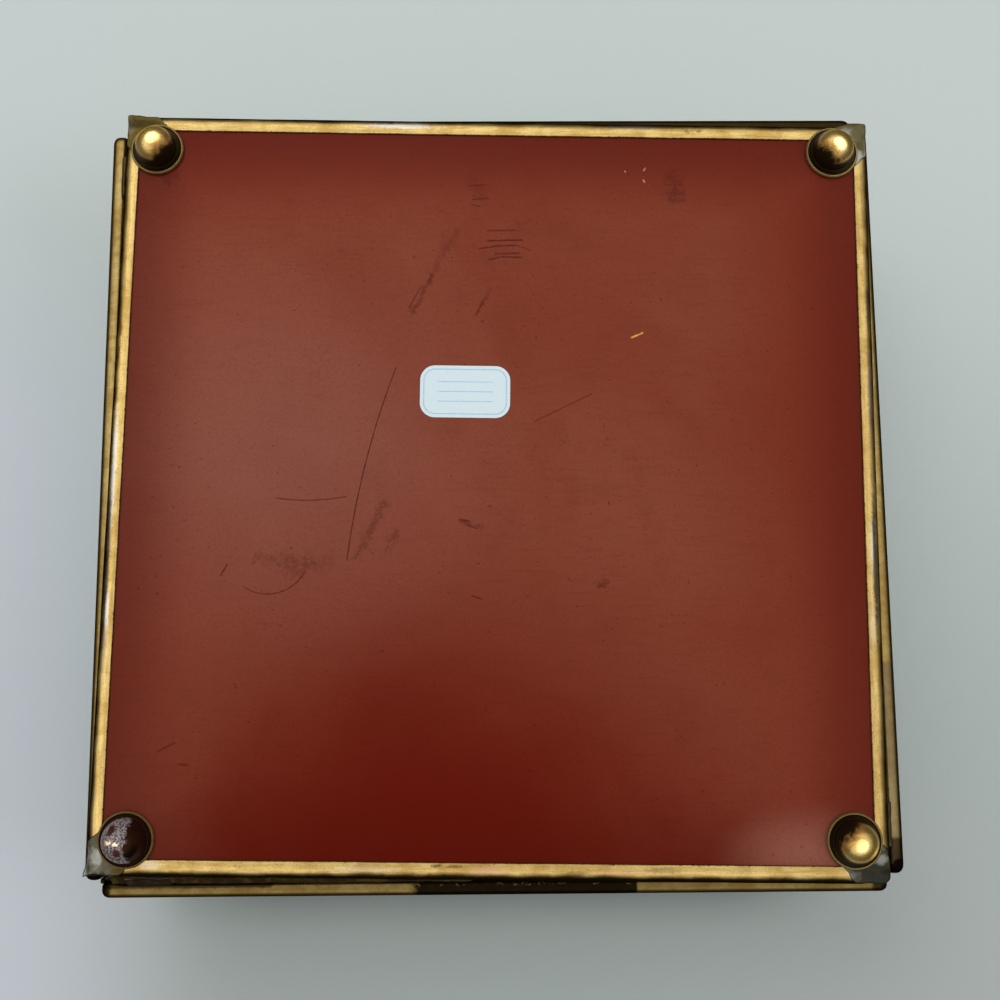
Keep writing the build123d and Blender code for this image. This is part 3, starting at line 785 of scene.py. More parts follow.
def paintMaterial(look):
    # brushed oxide red on the back of the plate, rubbed and smudged, with a painted shadow over the lower middle and
    # painted sheen in two lighter patches
    material, tree = newMaterial("oxideRedPaint")
    place = objectPlace(tree)
    clouds = noise(tree, place, 42.0, 3.0, 0.55, 0.6)
    mottle = noise(tree, place, 9.0, 4.0, 0.6, 0.3)
    grain = noise(tree, place, 0.5, 3.0, 0.6)
    colour = tint(tree, ranged(tree, clouds, 0.35, 0.65, 0.0, 0.4), look["red"], look["deep"])
    colour = tint(tree, ranged(tree, mottle, 0.5, 0.75, 0.0, 0.25), colour, look["brown"])
    brushed = noise(tree, objectPlace(tree, (0.12, 1.0, 1.0)), 0.7, 3.0, 0.6)
    colour = tint(tree, ranged(tree, brushed, 0.5, 0.72, 0.0, 0.3), colour, look["streak"])
    reach = length(tree, spotPlace(tree, (*look["shadedPlace"], 0.0), (*look["shadedSize"], 1000.0)))
    shadow = ranged(tree, calc(tree, "ADD", reach, clouds), 1.9, 0.7, 0.0, 0.9)
    colour = tint(tree, shadow, colour, look["shaded"])
    mirror = ranged(tree, shadow, 0.1, 0.8, look["mirror"], 0.03)
    parts = split(tree, place)
    far = calc(tree, "MAXIMUM", ranged(tree, parts["Y"], -44.0, -70.0, 0.0, 0.85), ranged(tree, parts["X"], 30.0, 72.0, 0.0, 0.7))
    colour = tint(tree, far, colour, look["deep"])
    # painted sheen: a lighter pink haze near the back right corner
    reach = length(tree, spotPlace(tree, (*look["paintedSheenPlace"], 0.0), (*look["paintedSheenSize"], 1000.0)))
    paintedSheen = ranged(tree, reach, 1.4, 0.0, 0.0, 0.6)
    # painted sheen: a lighter haze over the left middle
    reach = length(tree, spotPlace(tree, (*look["paintedHazePlace"], 0.0), (*look["paintedHazeSize"], 1000.0)))
    colour = tint(tree, ranged(tree, reach, 1.4, 0.0, 0.0, 0.42), colour, look["pale"])
    spot = split(tree, spotPlace(tree, (trayCentre.x / mm, trayCentre.y / mm, 0.0), turn=trayTurn))
    margin = calc(tree, "MAXIMUM", calc(tree, "ABSOLUTE", spot["X"]), calc(tree, "ABSOLUTE", spot["Y"]))
    colour = tint(tree, ranged(tree, margin, 56.0, 74.0, 0.0, 0.6), colour, look["margin"])
    colour = tint(tree, paintedSheen, colour, look["paintedSheen"])
    colour = tint(tree, ranged(tree, grain, 0.4, 0.7, 0.0, 0.16), colour, look["smudge"])
    dots = ranged(tree, noise(tree, place, 0.8, 1.0, 0.5), 0.73, 0.78, 0.0, 0.5)
    colour = tint(tree, dots, colour, look["smudge"])
    ragged = calc(tree, "SUBTRACT", noise(tree, place, 1.1, 4.0, 0.75), 0.5)
    for kind, ink, uneven in (("smudges", "smudge", 7.0), ("scratches", "smudge", 1.6), ("flecks", "fleck", 3.0)):
        for x, y, endX, endY, halfWide, strength in look[kind]:
            reach = stroke(tree, (x, y), (endX, endY), halfWide, ragged, uneven)
            colour = tint(tree, ranged(tree, reach, 1.4, 0.2 - 0.06 * uneven, 0.0, strength), colour, look[ink])
    for start, through, end, halfWide, strength in look["curves"]:
        reach = curvedStroke(tree, start, through, end, halfWide, ragged, 1.6)
        colour = tint(tree, ranged(tree, reach, 1.4, 0.1, 0.0, strength), colour, look["smudge"])
    low, high = look["rough"]
    rough = ranged(tree, mottle, 0.3, 0.7, low, high)
    rough = calc(tree, "ADD", rough, ranged(tree, grain, 0.45, 0.75, 0.0, 0.06))
    skin = bump(tree, grain, 0.25, 0.02)
    waves = bump(tree, clouds, 0.12, 0.25, skin)
    finishMaterial(tree, {"Base Color": colour, "Roughness": rough, "Normal": waves, "Specular IOR Level": mirror})
    return material


def silverMaterial():
    # the mirror side, seen through the lid: clear silver with scattered dark age spots
    material, tree = newMaterial("mirrorSilver")
    place = objectPlace(tree)
    spots = ranged(tree, noise(tree, place, 3.0, 5.0, 0.7), 0.66, 0.72)
    colour = tint(tree, spots, shade(236, 240, 238), shade(120, 118, 108))
    rough = ranged(tree, noise(tree, place, 20.0, 3.0), 0.3, 0.7, 0.015, 0.04)
    finishMaterial(tree, {"Base Color": colour, "Metallic": 1.0, "Roughness": rough})
    return material


paperLook = {
    "paper": shade(210, 229, 236),
    "ink": shade(150, 190, 214),
    "halfSize": (9.0, 5.3),
    "corner": 3.0,
    "inset": 0.75,
    "line": 0.16,
    "rules": (-2.0, 0.0, 2.0),
    "ruleHalf": 5.6,
}


def paperMaterial(look, centre, turn):
    # plain gummed paper with a thin pale blue border and ruled lines
    material, tree = newMaterial("labelPaper")
    spot = spotPlace(tree, (centre.x / mm, centre.y / mm, 0.0), turn=turn)
    parts = split(tree, spot)
    across = calc(tree, "ABSOLUTE", parts["X"])
    up = calc(tree, "ABSOLUTE", parts["Y"])
    dx = calc(tree, "MAXIMUM", calc(tree, "SUBTRACT", across, look["halfSize"][0] - look["corner"]), 0.0)
    dy = calc(tree, "MAXIMUM", calc(tree, "SUBTRACT", up, look["halfSize"][1] - look["corner"]), 0.0)
    reach = calc(tree, "SQRT", calc(tree, "ADD", calc(tree, "MULTIPLY", dx, dx), calc(tree, "MULTIPLY", dy, dy)))
    offLine = calc(tree, "ABSOLUTE", calc(tree, "SUBTRACT", reach, look["corner"] - look["inset"]))
    ink = ranged(tree, offLine, look["line"], look["line"] * 0.4)
    inside = ranged(tree, across, look["ruleHalf"], look["ruleHalf"] - 0.15)
    for height in look["rules"]:
        offRule = calc(tree, "ABSOLUTE", calc(tree, "SUBTRACT", parts["Y"], height))
        rule = calc(tree, "MULTIPLY", ranged(tree, offRule, look["line"] * 0.8, look["line"] * 0.3), inside)
        ink = calc(tree, "MAXIMUM", ink, rule)
    place = objectPlace(tree)
    patchy = ranged(tree, noise(tree, place, 0.35, 3.0, 0.7), 0.3, 0.6, 0.45, 0.95)
    fibre = noise(tree, place, 0.6, 4.0, 0.7)
    colour = tint(tree, ranged(tree, fibre, 0.35, 0.7, 0.0, 0.25), look["paper"], shade(204, 210, 214))
    colour = tint(tree, calc(tree, "MULTIPLY", ink, patchy), colour, look["ink"])
    finishMaterial(tree, {"Base Color": colour, "Roughness": 0.7, "Normal": bump(tree, fibre, 0.3, 0.03)})
    return material


def glassMaterial():
    # clear window glass, faintly green, that lets the lamps through
    material, tree = newMaterial("windowGlass")
    pane = addNode(tree, "ShaderNodeBsdfPrincipled", {
        "Base Color": shade(247, 253, 250), "Roughness": 0.01, "IOR": 1.5, "Transmission Weight": 1.0,
    }).outputs[0]
    clear = addNode(tree, "ShaderNodeBsdfTransparent", {"Color": shade(244, 251, 247)}).outputs[0]
    shadowRay = addNode(tree, "ShaderNodeLightPath").outputs["Is Shadow Ray"]
    mixed = addNode(tree, "ShaderNodeMixShader", {0: shadowRay, 1: pane, 2: clear}).outputs[0]
    addNode(tree, "ShaderNodeOutputMaterial", {"Surface": mixed})
    return material


brassX = brassMaterial("brassAlongX", brassLook, "X", 0.45)
brassY = brassMaterial("brassAlongY", brassLook, "Y", 0.45)
brassWall = brassMaterial("brassWall", brassLook, "none", 0.45, 0.3, scorchesAndShade)
brassPlain = brassMaterial("brassFittings", brassLook, "none", 0.2, 0.05)
solder = solderMaterial("tinSolder", solderLook)
lidSolder = solderMaterial("lidSolder", lidSolderLook)
tackSolder = solderMaterial("tackSolder", tackLook)
sootySolder = solderMaterial("sootySolder", sootyLook)
paint = paintMaterial(paintLook)
silver = silverMaterial()
glass = glassMaterial()
print("materials are mixed")


def dress(node, material):
    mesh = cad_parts[node].data
    mesh.materials.clear()
    mesh.materials.append(material)


# Came rails: one strip of U section, mitred at both ends, with the dents of hand work

trayLook = {
    "width": 152.6,
    "depth": 152.0,
    "sideLeg": 3.0,
    "endLeg": 3.4,
    "gap": 6.0,
    "turn": trayTurn,
    "plate": (150.0, 149.4),
    "glass": 2.4,
}
lidLook = {
    "rim": 1.3,  # from the edge of the pane to the edge of the lid
    "leg": 3.0,
    "gap": 6.0,
}
stripLook = {
    "thick": 3.2,
    "wall": 0.4,
    "round": 1.3,
    "crown": 2.7,  # the outer faces of the strip fall away over this width
    "lip": 0.12,
    "steps": 260,
    "dent": 0.045,
    "dentSize": 7.0,
    "ripple": 0.012,
    "rippleSize": 1.8,
}


def makeRailRule():
    tree, given = newRule("cameRail", {
        "Length": ("Float", 0.15), "Gap": ("Float", 0.006), "Steps": ("Int", 200),
        "Dent": ("Float", 0.0001), "Dent Size": ("Float", 0.007), "Ripple": ("Float", 0.00002), "Ripple Size": ("Float", 0.002),
        "Seed": ("Float", 0.0), "Place": ("Vector", (0, 0, 0)), "Turn": ("Float", 0.0), "Material": ("Material", None),
    })
    section = addNode(tree, "GeometryNodeMeshToCurve", {0: given["Geometry"]}).outputs[0]
    far = addNode(tree, "ShaderNodeCombineXYZ", {0: given["Length"]}).outputs[0]
    line = addNode(tree, "GeometryNodeCurvePrimitiveLine", {"End": far}).outputs[0]
    line = addNode(tree, "GeometryNodeResampleCurve", {"Curve": line, "Count": given["Steps"]}).outputs[0]
    strip = addNode(tree, "GeometryNodeCurveToMesh", {"Curve": line, "Profile Curve": section, "Fill Caps": True}).outputs[0]
    place = tree.nodes.new("GeometryNodeInputPosition").outputs[0]
    parts = addNode(tree, "ShaderNodeSeparateXYZ", {0: place}).outputs
    half = calc(tree, "MULTIPLY", given["Length"], 0.5)
    share = calc(tree, "DIVIDE", calc(tree, "SUBTRACT", parts["X"], half), half)
    reach = calc(tree, "SUBTRACT", calc(tree, "SUBTRACT", half, given["Gap"]), parts["Y"])
    mitred = addNode(tree, "ShaderNodeCombineXYZ", {0: calc(tree, "MULTIPLY", share, reach), 1: parts["Y"], 2: parts["Z"]}).outputs[0]
    strip = addNode(tree, "GeometryNodeSetPosition", {"Geometry": strip, "Position": mitred}).outputs[0]
    strip = wobble(tree, strip, given["Dent Size"], given["Dent"], given["Seed"], (0.6, 1.0, 1.0))
    strip = wobble(tree, strip, given["Ripple Size"], given["Ripple"], given["Seed"], (0.5, 1.0, 1.0))
    turn = addNode(tree, "ShaderNodeCombineXYZ", {2: given["Turn"]}).outputs[0]
    strip = addNode(tree, "GeometryNodeTransform", {"Geometry": strip, "Translation": given["Place"], "Rotation": turn}).outputs[0]
    endRule(tree, strip, given["Material"])
    return tree


def stripSection(look, leg):
    # U outline with its crest at 0 and its legs towards +Y, laid out as the sweep turns it: (-y, -z)
    half, wall, bend, lip = look["thick"] / 2, look["wall"], look["round"], look["lip"]
    inner, tight = half - wall, bend - wall
    crown = look["crown"]
    outline = [(leg - lip, half)]
    outline += [(crown * (1 + y), half * z) for y, z in arc((0, 0), 1.0, 90, 270, 32)]
    outline += [(leg - lip, -half), (leg, lip - half), (leg, -inner)]
    outline += arc((bend, tight - inner), tight, 270, 180, 6)
    outline += arc((bend, inner - tight), tight, 180, 90, 6)
    outline += [(leg, inner), (leg, half - lip)]
    return [(-y, -z, 0.0) for y, z in dict.fromkeys((round(y, 4), round(z, 4)) for y, z in outline)]


# what the photograph shows on each rail of the tray: from and to along it, the middle and half width
# across it from its inner edge, in millimetres, the ink and its strength
railStainsAndPaintedLight = {
    "inks": {
        # the silver ink paints highlights and the steel ink paints bluish reflections; copper and brown are stains
        "silver": shade(236, 232, 220),
        "steelReflection": shade(74, 80, 84),
        "lilac": shade(150, 132, 130),
        "copper": shade(150, 92, 46),
        "pink": shade(222, 176, 132),
        "brown": shade(84, 56, 24),
    },
    "front": (
        (-27.0, -13.0, 1.9, 0.7, "silver", 0.8),
        (-22.0, -19.0, 2.3, 0.3, "silver", 0.9),
        (-40.0, -28.0, 2.7, 0.5, "steelReflection", 0.6),
        (22.0, 35.0, 2.3, 0.5, "lilac", 0.7),
        (38.5, 40.0, 1.4, 0.5, "brown", 0.5),
        (41.0, 42.0, 1.6, 0.4, "brown", 0.5),
    ),
    "back": (
        (-30.0, -17.0, 1.3, 0.5, "silver", 0.22),
        (-11.0, -9.0, 0.6, 0.4, "brown", 0.7),
        (-8.0, -5.0, 0.7, 0.3, "brown", 0.6),
        (-4.0, 4.0, 1.5, 0.8, "pink", 0.7),
        (14.0, 19.0, 1.9, 0.5, "brown", 0.5),
        (30.0, 37.0, 1.1, 0.6, "brown", 0.35),
        (20.0, 30.0, 1.4, 0.5, "pink", 0.4),
        (-66.0, -62.0, 1.0, 0.8, "silver", 0.35),
    ),
    "left": (
        (-60.0, -50.0, 2.2, 0.4, "copper", 0.4),
        (-32.0, -29.0, 1.9, 0.4, "copper", 0.8),
        (-27.0, -24.0, 2.1, 0.35, "copper", 0.8),
        (-14.0, 10.0, 1.7, 0.5, "silver", 0.9),
        (4.0, 34.0, 2.1, 0.6, "steelReflection", 0.8),
        (22.0, 30.0, 1.4, 0.35, "silver", 0.8),
        (28.0, 40.0, 1.6, 0.4, "lilac", 0.5),
    ),
    "right": (
        (-42.0, -33.0, 2.2, 0.5, "steelReflection", 0.6),
        (-28.0, -9.0, 2.1, 0.6, "lilac", 0.6),
        (2.0, 28.0, 1.8, 0.45, "steelReflection", 0.85),
        (7.0, 16.0, 1.25, 0.25, "silver", 0.7),
        (23.0, 32.0, 0.9, 0.6, "silver", 0.2),
    ),
    # soot colours the painted shade of the outer side and the dirt along the inner edge
    "soot": shade(30, 19, 6),
    "outer": {"front": (1.7, 2.75), "back": (1.5, 2.45), "left": (1.7, 2.75), "right": (2.1, 3.0)},  # where it goes dark: painted shade on the rounded outer side
}


def stainedRailWithPaintedLight(side, legs):
    look = railStainsAndPaintedLight
    endRail = side in ("front", "back")
    leg = legs["endLeg" if endRail else "sideLeg"]
    inner = legs["depth" if endRail else "width"] / 2 - leg

    def marks(tree, colour, rough, metallic):
        place = objectPlace(tree)
        spot = split(tree, spotPlace(tree, (trayCentre.x / mm, trayCentre.y / mm, 0.0), turn=legs["turn"]))
        along, beside = (spot["X"], spot["Y"]) if endRail else (spot["Y"], spot["X"])
        across = calc(tree, "SUBTRACT", calc(tree, "ABSOLUTE", beside), inner)
        ragged = calc(tree, "SUBTRACT", noise(tree, place, 0.9, 4.0, 0.75), 0.5)
        wavy = calc(tree, "SUBTRACT", noise(tree, place, 6.0, 2.0, 0.5), 0.5)
        for start, end, level, halfWide, ink, strength in look[side]:
            long = calc(tree, "DIVIDE", calc(tree, "SUBTRACT", along, (start + end) / 2), (end - start) / 2)
            wide = calc(tree, "DIVIDE", calc(tree, "SUBTRACT", across, level), halfWide)
            reach = length(tree, addNode(tree, "ShaderNodeCombineXYZ", {0: long, 1: wide}).outputs[0])
            reach = calc(tree, "ADD", reach, calc(tree, "MULTIPLY", ragged, 2.4))
            colour = tint(tree, ranged(tree, reach, 1.4, 0.5, 0.0, strength), colour, look["inks"][ink])
        # painted shade: the rounded outer side of the rail goes dark
        outer = calc(tree, "ADD", across, calc(tree, "MULTIPLY", wavy, 1.3))
        outer = calc(tree, "ADD", outer, calc(tree, "MULTIPLY", ragged, 0.4))
        start, end = look["outer"][side]
        dark = ranged(tree, outer, start * leg / 3.0, end * leg / 3.0, 0.0, 0.95)
        dirt = calc(tree, "ADD", across, calc(tree, "MULTIPLY", ragged, 1.6))
        dark = calc(tree, "MAXIMUM", dark, ranged(tree, dirt, 0.12, -0.05, 0.0, 0.6))
        colour = tint(tree, dark, colour, look["soot"])
        rough = calc(tree, "ADD", rough, calc(tree, "MULTIPLY", dark, 0.1))
        return colour, rough, metallic

    return marks


railRule = makeRailRule()


def makeRails(prefix, nodePrefix, body, centre, width, depth, legs, gap, turn, seed, brass):
    # the four rails of a flat frame round its plate
    for i, (side, along) in enumerate((("front", width), ("right", depth), ("back", width), ("left", depth))):
        out = (depth if side in ("front", "back") else width) / 2
        angle = math.radians(90 * i + turn)
        crest = centre + Matrix.Rotation(angle, 3, "Z") @ Vector((0, -out * mm, 0))
        leg = legs["end" if side in ("front", "back") else "side"]
        section = polyline(prefix + side + "Section", stripSection(stripLook, leg), True)
        rail = grow(prefix + side.capitalize(), section, railRule, {
            "Length": along * mm, "Gap": gap * mm, "Steps": stripLook["steps"],
            "Dent": stripLook["dent"] * mm, "Dent Size": stripLook["dentSize"] * mm,
            "Ripple": stripLook["ripple"] * mm, "Ripple Size": stripLook["rippleSize"] * mm,
            "Seed": float(seed + i), "Place": tuple(crest), "Turn": angle,
            "Material": brass[side],
        })
        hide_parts(nodePrefix + side)
        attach(rail, body)


def middle(*nodes):
    corners = [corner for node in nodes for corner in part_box(node)]
    low = Vector(min(c[i] for c in corners) for i in range(3))
    high = Vector(max(c[i] for c in corners) for i in range(3))
    return (low + high) / 2


lidCentre = middle("lid_glass")
lidPane = (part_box("lid_glass")[1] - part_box("lid_glass")[0]) / mm
lidWidth, lidDepth = (side + 2 * lidLook["rim"] for side in lidPane[:2])
makeRails("baseCame", "base_came_", "box", trayCentre, trayLook["width"], trayLook["depth"],
          {"side": trayLook["sideLeg"], "end": trayLook["endLeg"]}, trayLook["gap"], trayLook["turn"], 3,
          {side: brassMaterial("trayBrass" + side.capitalize(), brassLook, along, 0.8, 0.0, stainedRailWithPaintedLight(side, trayLook))
           for side, along in (("front", "X"), ("back", "X"), ("left", "Y"), ("right", "Y"))})
makeRails("lidCame", "lid_came_", "lid", lidCentre, lidWidth, lidDepth,
          {"side": lidLook["leg"], "end": lidLook["leg"]}, lidLook["gap"], 0.0, 11,
          {"front": brassX, "back": brassX, "left": brassY, "right": brassY})
for side in ("front", "back", "left", "right"):
    dress(side + "_came", brassWall)
print("came rails are bent")


# Feet and knob: turned shapes, from a half outline spun about an axis

footLook = {
    "rim": 5.35,
    "lip": 0.35,
    "lipMiddle": 0.2,
    "flange": 0.4,
    "stepRadius": 4.5,
    "stepHeight": 0.95,
    "stepRound": 0.22,
    "ball": 4.1,
    "ballCentre": 1.5,
    "wall": 0.4,
    "wear": 0.1,
    "segments": 144,
    "rings": 170,
    "dent": 0.02,
    "dentSize": 2.5,
}
pittedFoot = {
    "depth": 0.09,
    "size": 0.42,
    "side": (-0.86, -0.3, -0.6),
}
knobLook = {
    "ball": 2.0,
    "neck": 0.9,
    "collar": 1.4,
    "reach": 4.5,
    "segments": 72,
    "rings": 90,
}


def makeLatheRule():
    tree, given = newRule("turnedShape", {
        "Segments": ("Int", 96), "Rings": ("Int", 100), "Dent": ("Float", 0.00002), "Dent Size": ("Float", 0.002),
        "Pit Depth": ("Float", 0.0), "Pit Size": ("Float", 0.0004), "Pit Side": ("Vector", (0, 0, -1)), "Seed": ("Float", 0.0),
        "Place": ("Vector", (0, 0, 0)), "Tilt": ("Float", 0.0), "Material": ("Material", None),
    })
    outline = addNode(tree, "GeometryNodeMeshToCurve", {0: given["Geometry"]}).outputs[0]
    around = calc(tree, "ADD", given["Segments"], 1.0)
    grid = addNode(tree, "GeometryNodeMeshGrid", {"Vertices X": around, "Vertices Y": given["Rings"]}).outputs[0]
    place = addNode(tree, "ShaderNodeSeparateXYZ", {0: tree.nodes.new("GeometryNodeInputPosition").outputs[0]}).outputs
    angle = calc(tree, "MULTIPLY", calc(tree, "ADD", place["X"], 0.5), math.tau)
    factor = calc(tree, "ADD", place["Y"], 0.5)
    sample = addNode(tree, "GeometryNodeSampleCurve", {"Curves": outline, "Factor": factor}, mode="FACTOR").outputs["Position"]
    spun = addNode(tree, "ShaderNodeVectorRotate", {"Vector": sample, "Angle": angle}, rotation_type="Z_AXIS").outputs[0]
    shape = addNode(tree, "GeometryNodeSetPosition", {"Geometry": grid, "Position": spun}).outputs[0]
    shape = addNode(tree, "GeometryNodeMergeByDistance", {"Geometry": shape, "Distance": 2e-6}).outputs[0]
    shape = wobble(tree, shape, given["Dent Size"], given["Dent"], given["Seed"])
    normal = tree.nodes.new("GeometryNodeInputNormal").outputs[0]
    towards = addNode(tree, "ShaderNodeVectorMath", {0: normal, 1: given["Pit Side"]}, operation="DOT_PRODUCT").outputs["Value"]
    position = tree.nodes.new("GeometryNodeInputPosition").outputs[0]
    cells = addNode(tree, "ShaderNodeTexNoise", {
        "Vector": position, "W": given["Seed"], "Scale": calc(tree, "DIVIDE", 1.0, given["Pit Size"]), "Detail": 3.0,
    }, noise_dimensions="4D").outputs[0]
    pit = calc(tree, "MULTIPLY", ranged(tree, towards, 0.25, 0.6), calc(tree, "SUBTRACT", cells, 0.55))
    sunk = addNode(tree, "ShaderNodeVectorMath", {
        0: normal, "Scale": calc(tree, "MULTIPLY", pit, calc(tree, "MULTIPLY", given["Pit Depth"], 4.0)),
    }, operation="SCALE").outputs[0]
    shape = addNode(tree, "GeometryNodeSetPosition", {"Geometry": shape, "Offset": sunk}).outputs[0]
    tilt = addNode(tree, "ShaderNodeCombineXYZ", {0: given["Tilt"]}).outputs[0]
    shape = addNode(tree, "GeometryNodeTransform", {"Geometry": shape, "Translation": given["Place"], "Rotation": tilt}).outputs[0]
    endRule(tree, shape, given["Material"])
    return tree


def footOutline(look):
    # half outline of the hollow stamping, (radius, height), hanging down from 0
    ball, centre, wall, flange = look["ball"], look["ballCentre"], look["wall"], look["flange"]
    lipX, lipZ, lip = look["rim"] - look["lip"], look["lipMiddle"], look["lip"]
    hollow = ball - wall
    throat = math.degrees(math.asin((flange - centre) / hollow))
    stepSide, stepTop, bend = look["stepRadius"], look["stepHeight"], look["stepRound"]
    seat = math.degrees(math.asin((stepTop - centre) / ball))
    tip = math.degrees(math.asin((ball - look["wear"]) / ball))
    outline = arc((0, centre), hollow, 90, throat, 24)
    outline += [(hollow * math.cos(math.radians(throat)), 0.0)]
    outline += arc((lipX, lipZ), lip, -math.degrees(math.asin(lipZ / lip)), 145, 16)
    outline += [(stepSide + 0.06, flange), (stepSide, flange + 0.06)]
    outline += arc((stepSide - bend, stepTop - bend), bend, 0, 90, 6)
    outline += arc((0, centre), ball, seat, tip, 48)
    outline += [(0.0, centre + ball - look["wear"])]
    return [(r, 0.0, -h) for r, h in outline]


# each foot has a small lamp of its own, that puts the highlight where the photograph has it
shineLook = {  # from the middle of the ball's outline, to the right and down, in radii; and watts
    "front_left": {"place": (-0.16, -0.42), "watts": 0.17},
    "front_right": {"place": (0.30, -0.28), "watts": 0.18},
    "back_left": {"place": (-0.40, 0.10), "watts": 0.04},
    "back_right": {"place": (0.22, 0.17), "watts": 0.08},
}
shineSize = 0.15
shineReach = 0.12


def makeShine(name, foot, centre, look):
    camera = bpy.context.scene.camera.matrix_world
    eye = (camera.translation - centre).normalized()
    across, down = look["place"]
    sideways = across * camera.col[0].xyz - down * camera.col[1].xyz
    normal = (sideways + math.sqrt(1 - across ** 2 - down ** 2) * eye).normalized()
    way = 2 * normal.dot(eye) * normal - eye
    data = bpy.data.lights.new(name, "AREA")
    data.shape = "DISK"
    data.size = shineSize
    data.energy = look["watts"]
    lamp = bpy.data.objects.new(name, data)
    bpy.context.scene.collection.objects.link(lamp)
    lamp.location = centre + way * shineReach
    lamp.rotation_euler = (-way).to_track_quat("-Z", "Y").to_euler()
    lamp.visible_camera = False
    lit = bpy.data.collections.new(name + "Lit")
    lit.objects.link(foot)
    lamp.light_linking.receiver_collection = lit


footBrassLook = {
    **brassLook,
    "bright": shade(242, 214, 138),
    "deep": shade(216, 176, 96),
    "copper": shade(196, 140, 66),
    "rough": (0.24, 0.38),
}
latheRule = makeLatheRule()
for i, corner in enumerate(("front_left", "front_right", "back_left", "back_right")):
    node = "foot_" + corner
    low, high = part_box(node)
    name = "foot" + corner.title().replace("_", "")
    worn = corner == "back_left"
    ballCentre = ((low.x + high.x) / 2 / mm, (low.y + high.y) / 2 / mm, high.z / mm - footLook["ballCentre"])
    inward = Vector((-ballCentre[0], -ballCentre[1], 0.0)).normalized()
    footBrass = brassMaterial(name + "Brass", footBrassLook, "none", 0.0, 0.05, patinaAndShade(ballCentre, inward, worn))
    foot = grow(name, polyline(name + "Outline", footOutline(footLook)), latheRule, {
        "Segments": footLook["segments"], "Rings": footLook["rings"],
        "Dent": footLook["dent"] * mm, "Dent Size": footLook["dentSize"] * mm,
        "Pit Depth": pittedFoot["depth"] * mm if worn else 0.0, "Pit Size": pittedFoot["size"] * mm,
        "Pit Side": pittedFoot["side"], "Seed": float(i), "Place": ((low.x + high.x) / 2, (low.y + high.y) / 2, high.z),
        "Material": footBrass,
    }, 50.0)
    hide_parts(node)
    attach(foot, "box")
    makeShine(name + "Shine", foot, Vector(ballCentre) * mm, shineLook[corner])


def knobOutline(look):
    # half outline of the knob, (radius, height), standing out from the rail
    neckTop = look["reach"] - look["ball"]
    start = -math.degrees(math.acos(look["neck"] / look["ball"]))
    outline = [(0.0, -0.3), (look["collar"], -0.3), (look["collar"], 0.15)]
    outline += arc((look["collar"], look["collar"] - look["neck"] + 0.15), look["collar"] - look["neck"], 270, 180, 8)
    outline += arc((0, neckTop), look["ball"], start, 90, 32)
    return [(r, 0.0, h) for r, h in outline]


low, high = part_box("lid_knob")
knob = grow("lidKnob", polyline("knobOutline", knobOutline(knobLook)), latheRule, {
    "Segments": knobLook["segments"], "Rings": knobLook["rings"], "Dent": 0.0, "Dent Size": 2.0 * mm,
    "Place": (0.0, high.y, (low.z + high.z) / 2), "Tilt": math.radians(90), "Material": brassPlain,
})
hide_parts("lid_knob")
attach(knob, "lid")
for node in ("hinge_rod", "hinge_tube"):
    dress(node, brassPlain)
print("feet and knob are turned")


# Solder: each run of it swells over what it joins, with a lumpy skin

solderFlow = {
    "base_corner_solder": {"skin": solder, "name": "baseCornerSolder", "body": "box", "voxel": 0.16, "swell": 0.06, "lump": 0.22, "lumpSize": 3.0, "seed": 4, "soften": 5},
    "lid_corner_solder": {"skin": lidSolder, "name": "lidCornerSolder", "body": "lid", "voxel": 0.2, "swell": 0.03, "lump": 0.07, "lumpSize": 2.6, "seed": 9, "soften": 4},
    "corner_seam_solder": {"skin": sootySolder, "name": "cornerSeamSolder", "body": "box", "voxel": 0.22, "swell": 0.05, "lump": 0.12, "lumpSize": 3.0, "seed": 14, "soften": 4},
    "tray_tack_solder": {"skin": tackSolder, "name": "trayTackSolder", "body": "box", "voxel": 0.15, "swell": 0.0, "lump": 0.16, "lumpSize": 2.4, "seed": 19, "soften": 16},
    "hinge_tube_solder": {"skin": lidSolder, "name": "hingeTubeSolder", "body": "lid", "voxel": 0.15, "swell": 0.05, "lump": 0.1, "lumpSize": 2.0, "seed": 24, "soften": 4},
}


def makeSolderRule():
    tree, given = newRule("solderFlow", {
        "Voxel": ("Float", 0.0002), "Swell": ("Float", 0.0001), "Lump": ("Float", 0.0001), "Lump Size": ("Float", 0.002),
        "Soften": ("Int", 4), "Seed": ("Float", 0.0), "Material": ("Material", None),
    })
    filled = addNode(tree, "GeometryNodeMeshToVolume", {
        "Mesh": given["Geometry"], "Voxel Size": given["Voxel"], "Interior Band Width": calc(tree, "MULTIPLY", given["Voxel"], 4.0),
    }, resolution_mode="VOXEL_SIZE").outputs[0]
    skin = addNode(tree, "GeometryNodeVolumeToMesh", {"Volume": filled, "Threshold": 0.3}).outputs[0]
    place = tree.nodes.new("GeometryNodeInputPosition").outputs[0]
    soft = addNode(tree, "GeometryNodeBlurAttribute", {"Value": place, "Iterations": given["Soften"]}, data_type="FLOAT_VECTOR")
    smooth = [o for o in soft.outputs if o.enabled][0]
    skin = addNode(tree, "GeometryNodeSetPosition", {"Geometry": skin, "Position": smooth}).outputs[0]
    normal = tree.nodes.new("GeometryNodeInputNormal").outputs[0]
    swollen = addNode(tree, "ShaderNodeVectorMath", {0: normal, "Scale": given["Swell"]}, operation="SCALE").outputs[0]
    skin = addNode(tree, "GeometryNodeSetPosition", {"Geometry": skin, "Offset": swollen}).outputs[0]
    skin = wobble(tree, skin, given["Lump Size"], given["Lump"], given["Seed"])
    endRule(tree, skin, given["Material"])
    return tree


def mergedCopy(node):
    work = bmesh.new()
    work.from_mesh(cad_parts[node].data)
    bmesh.ops.remove_doubles(work, verts=work.verts, dist=1e-6)
    mesh = bpy.data.meshes.new(node + "Copy")
    work.to_mesh(mesh)
    work.free()
    return mesh


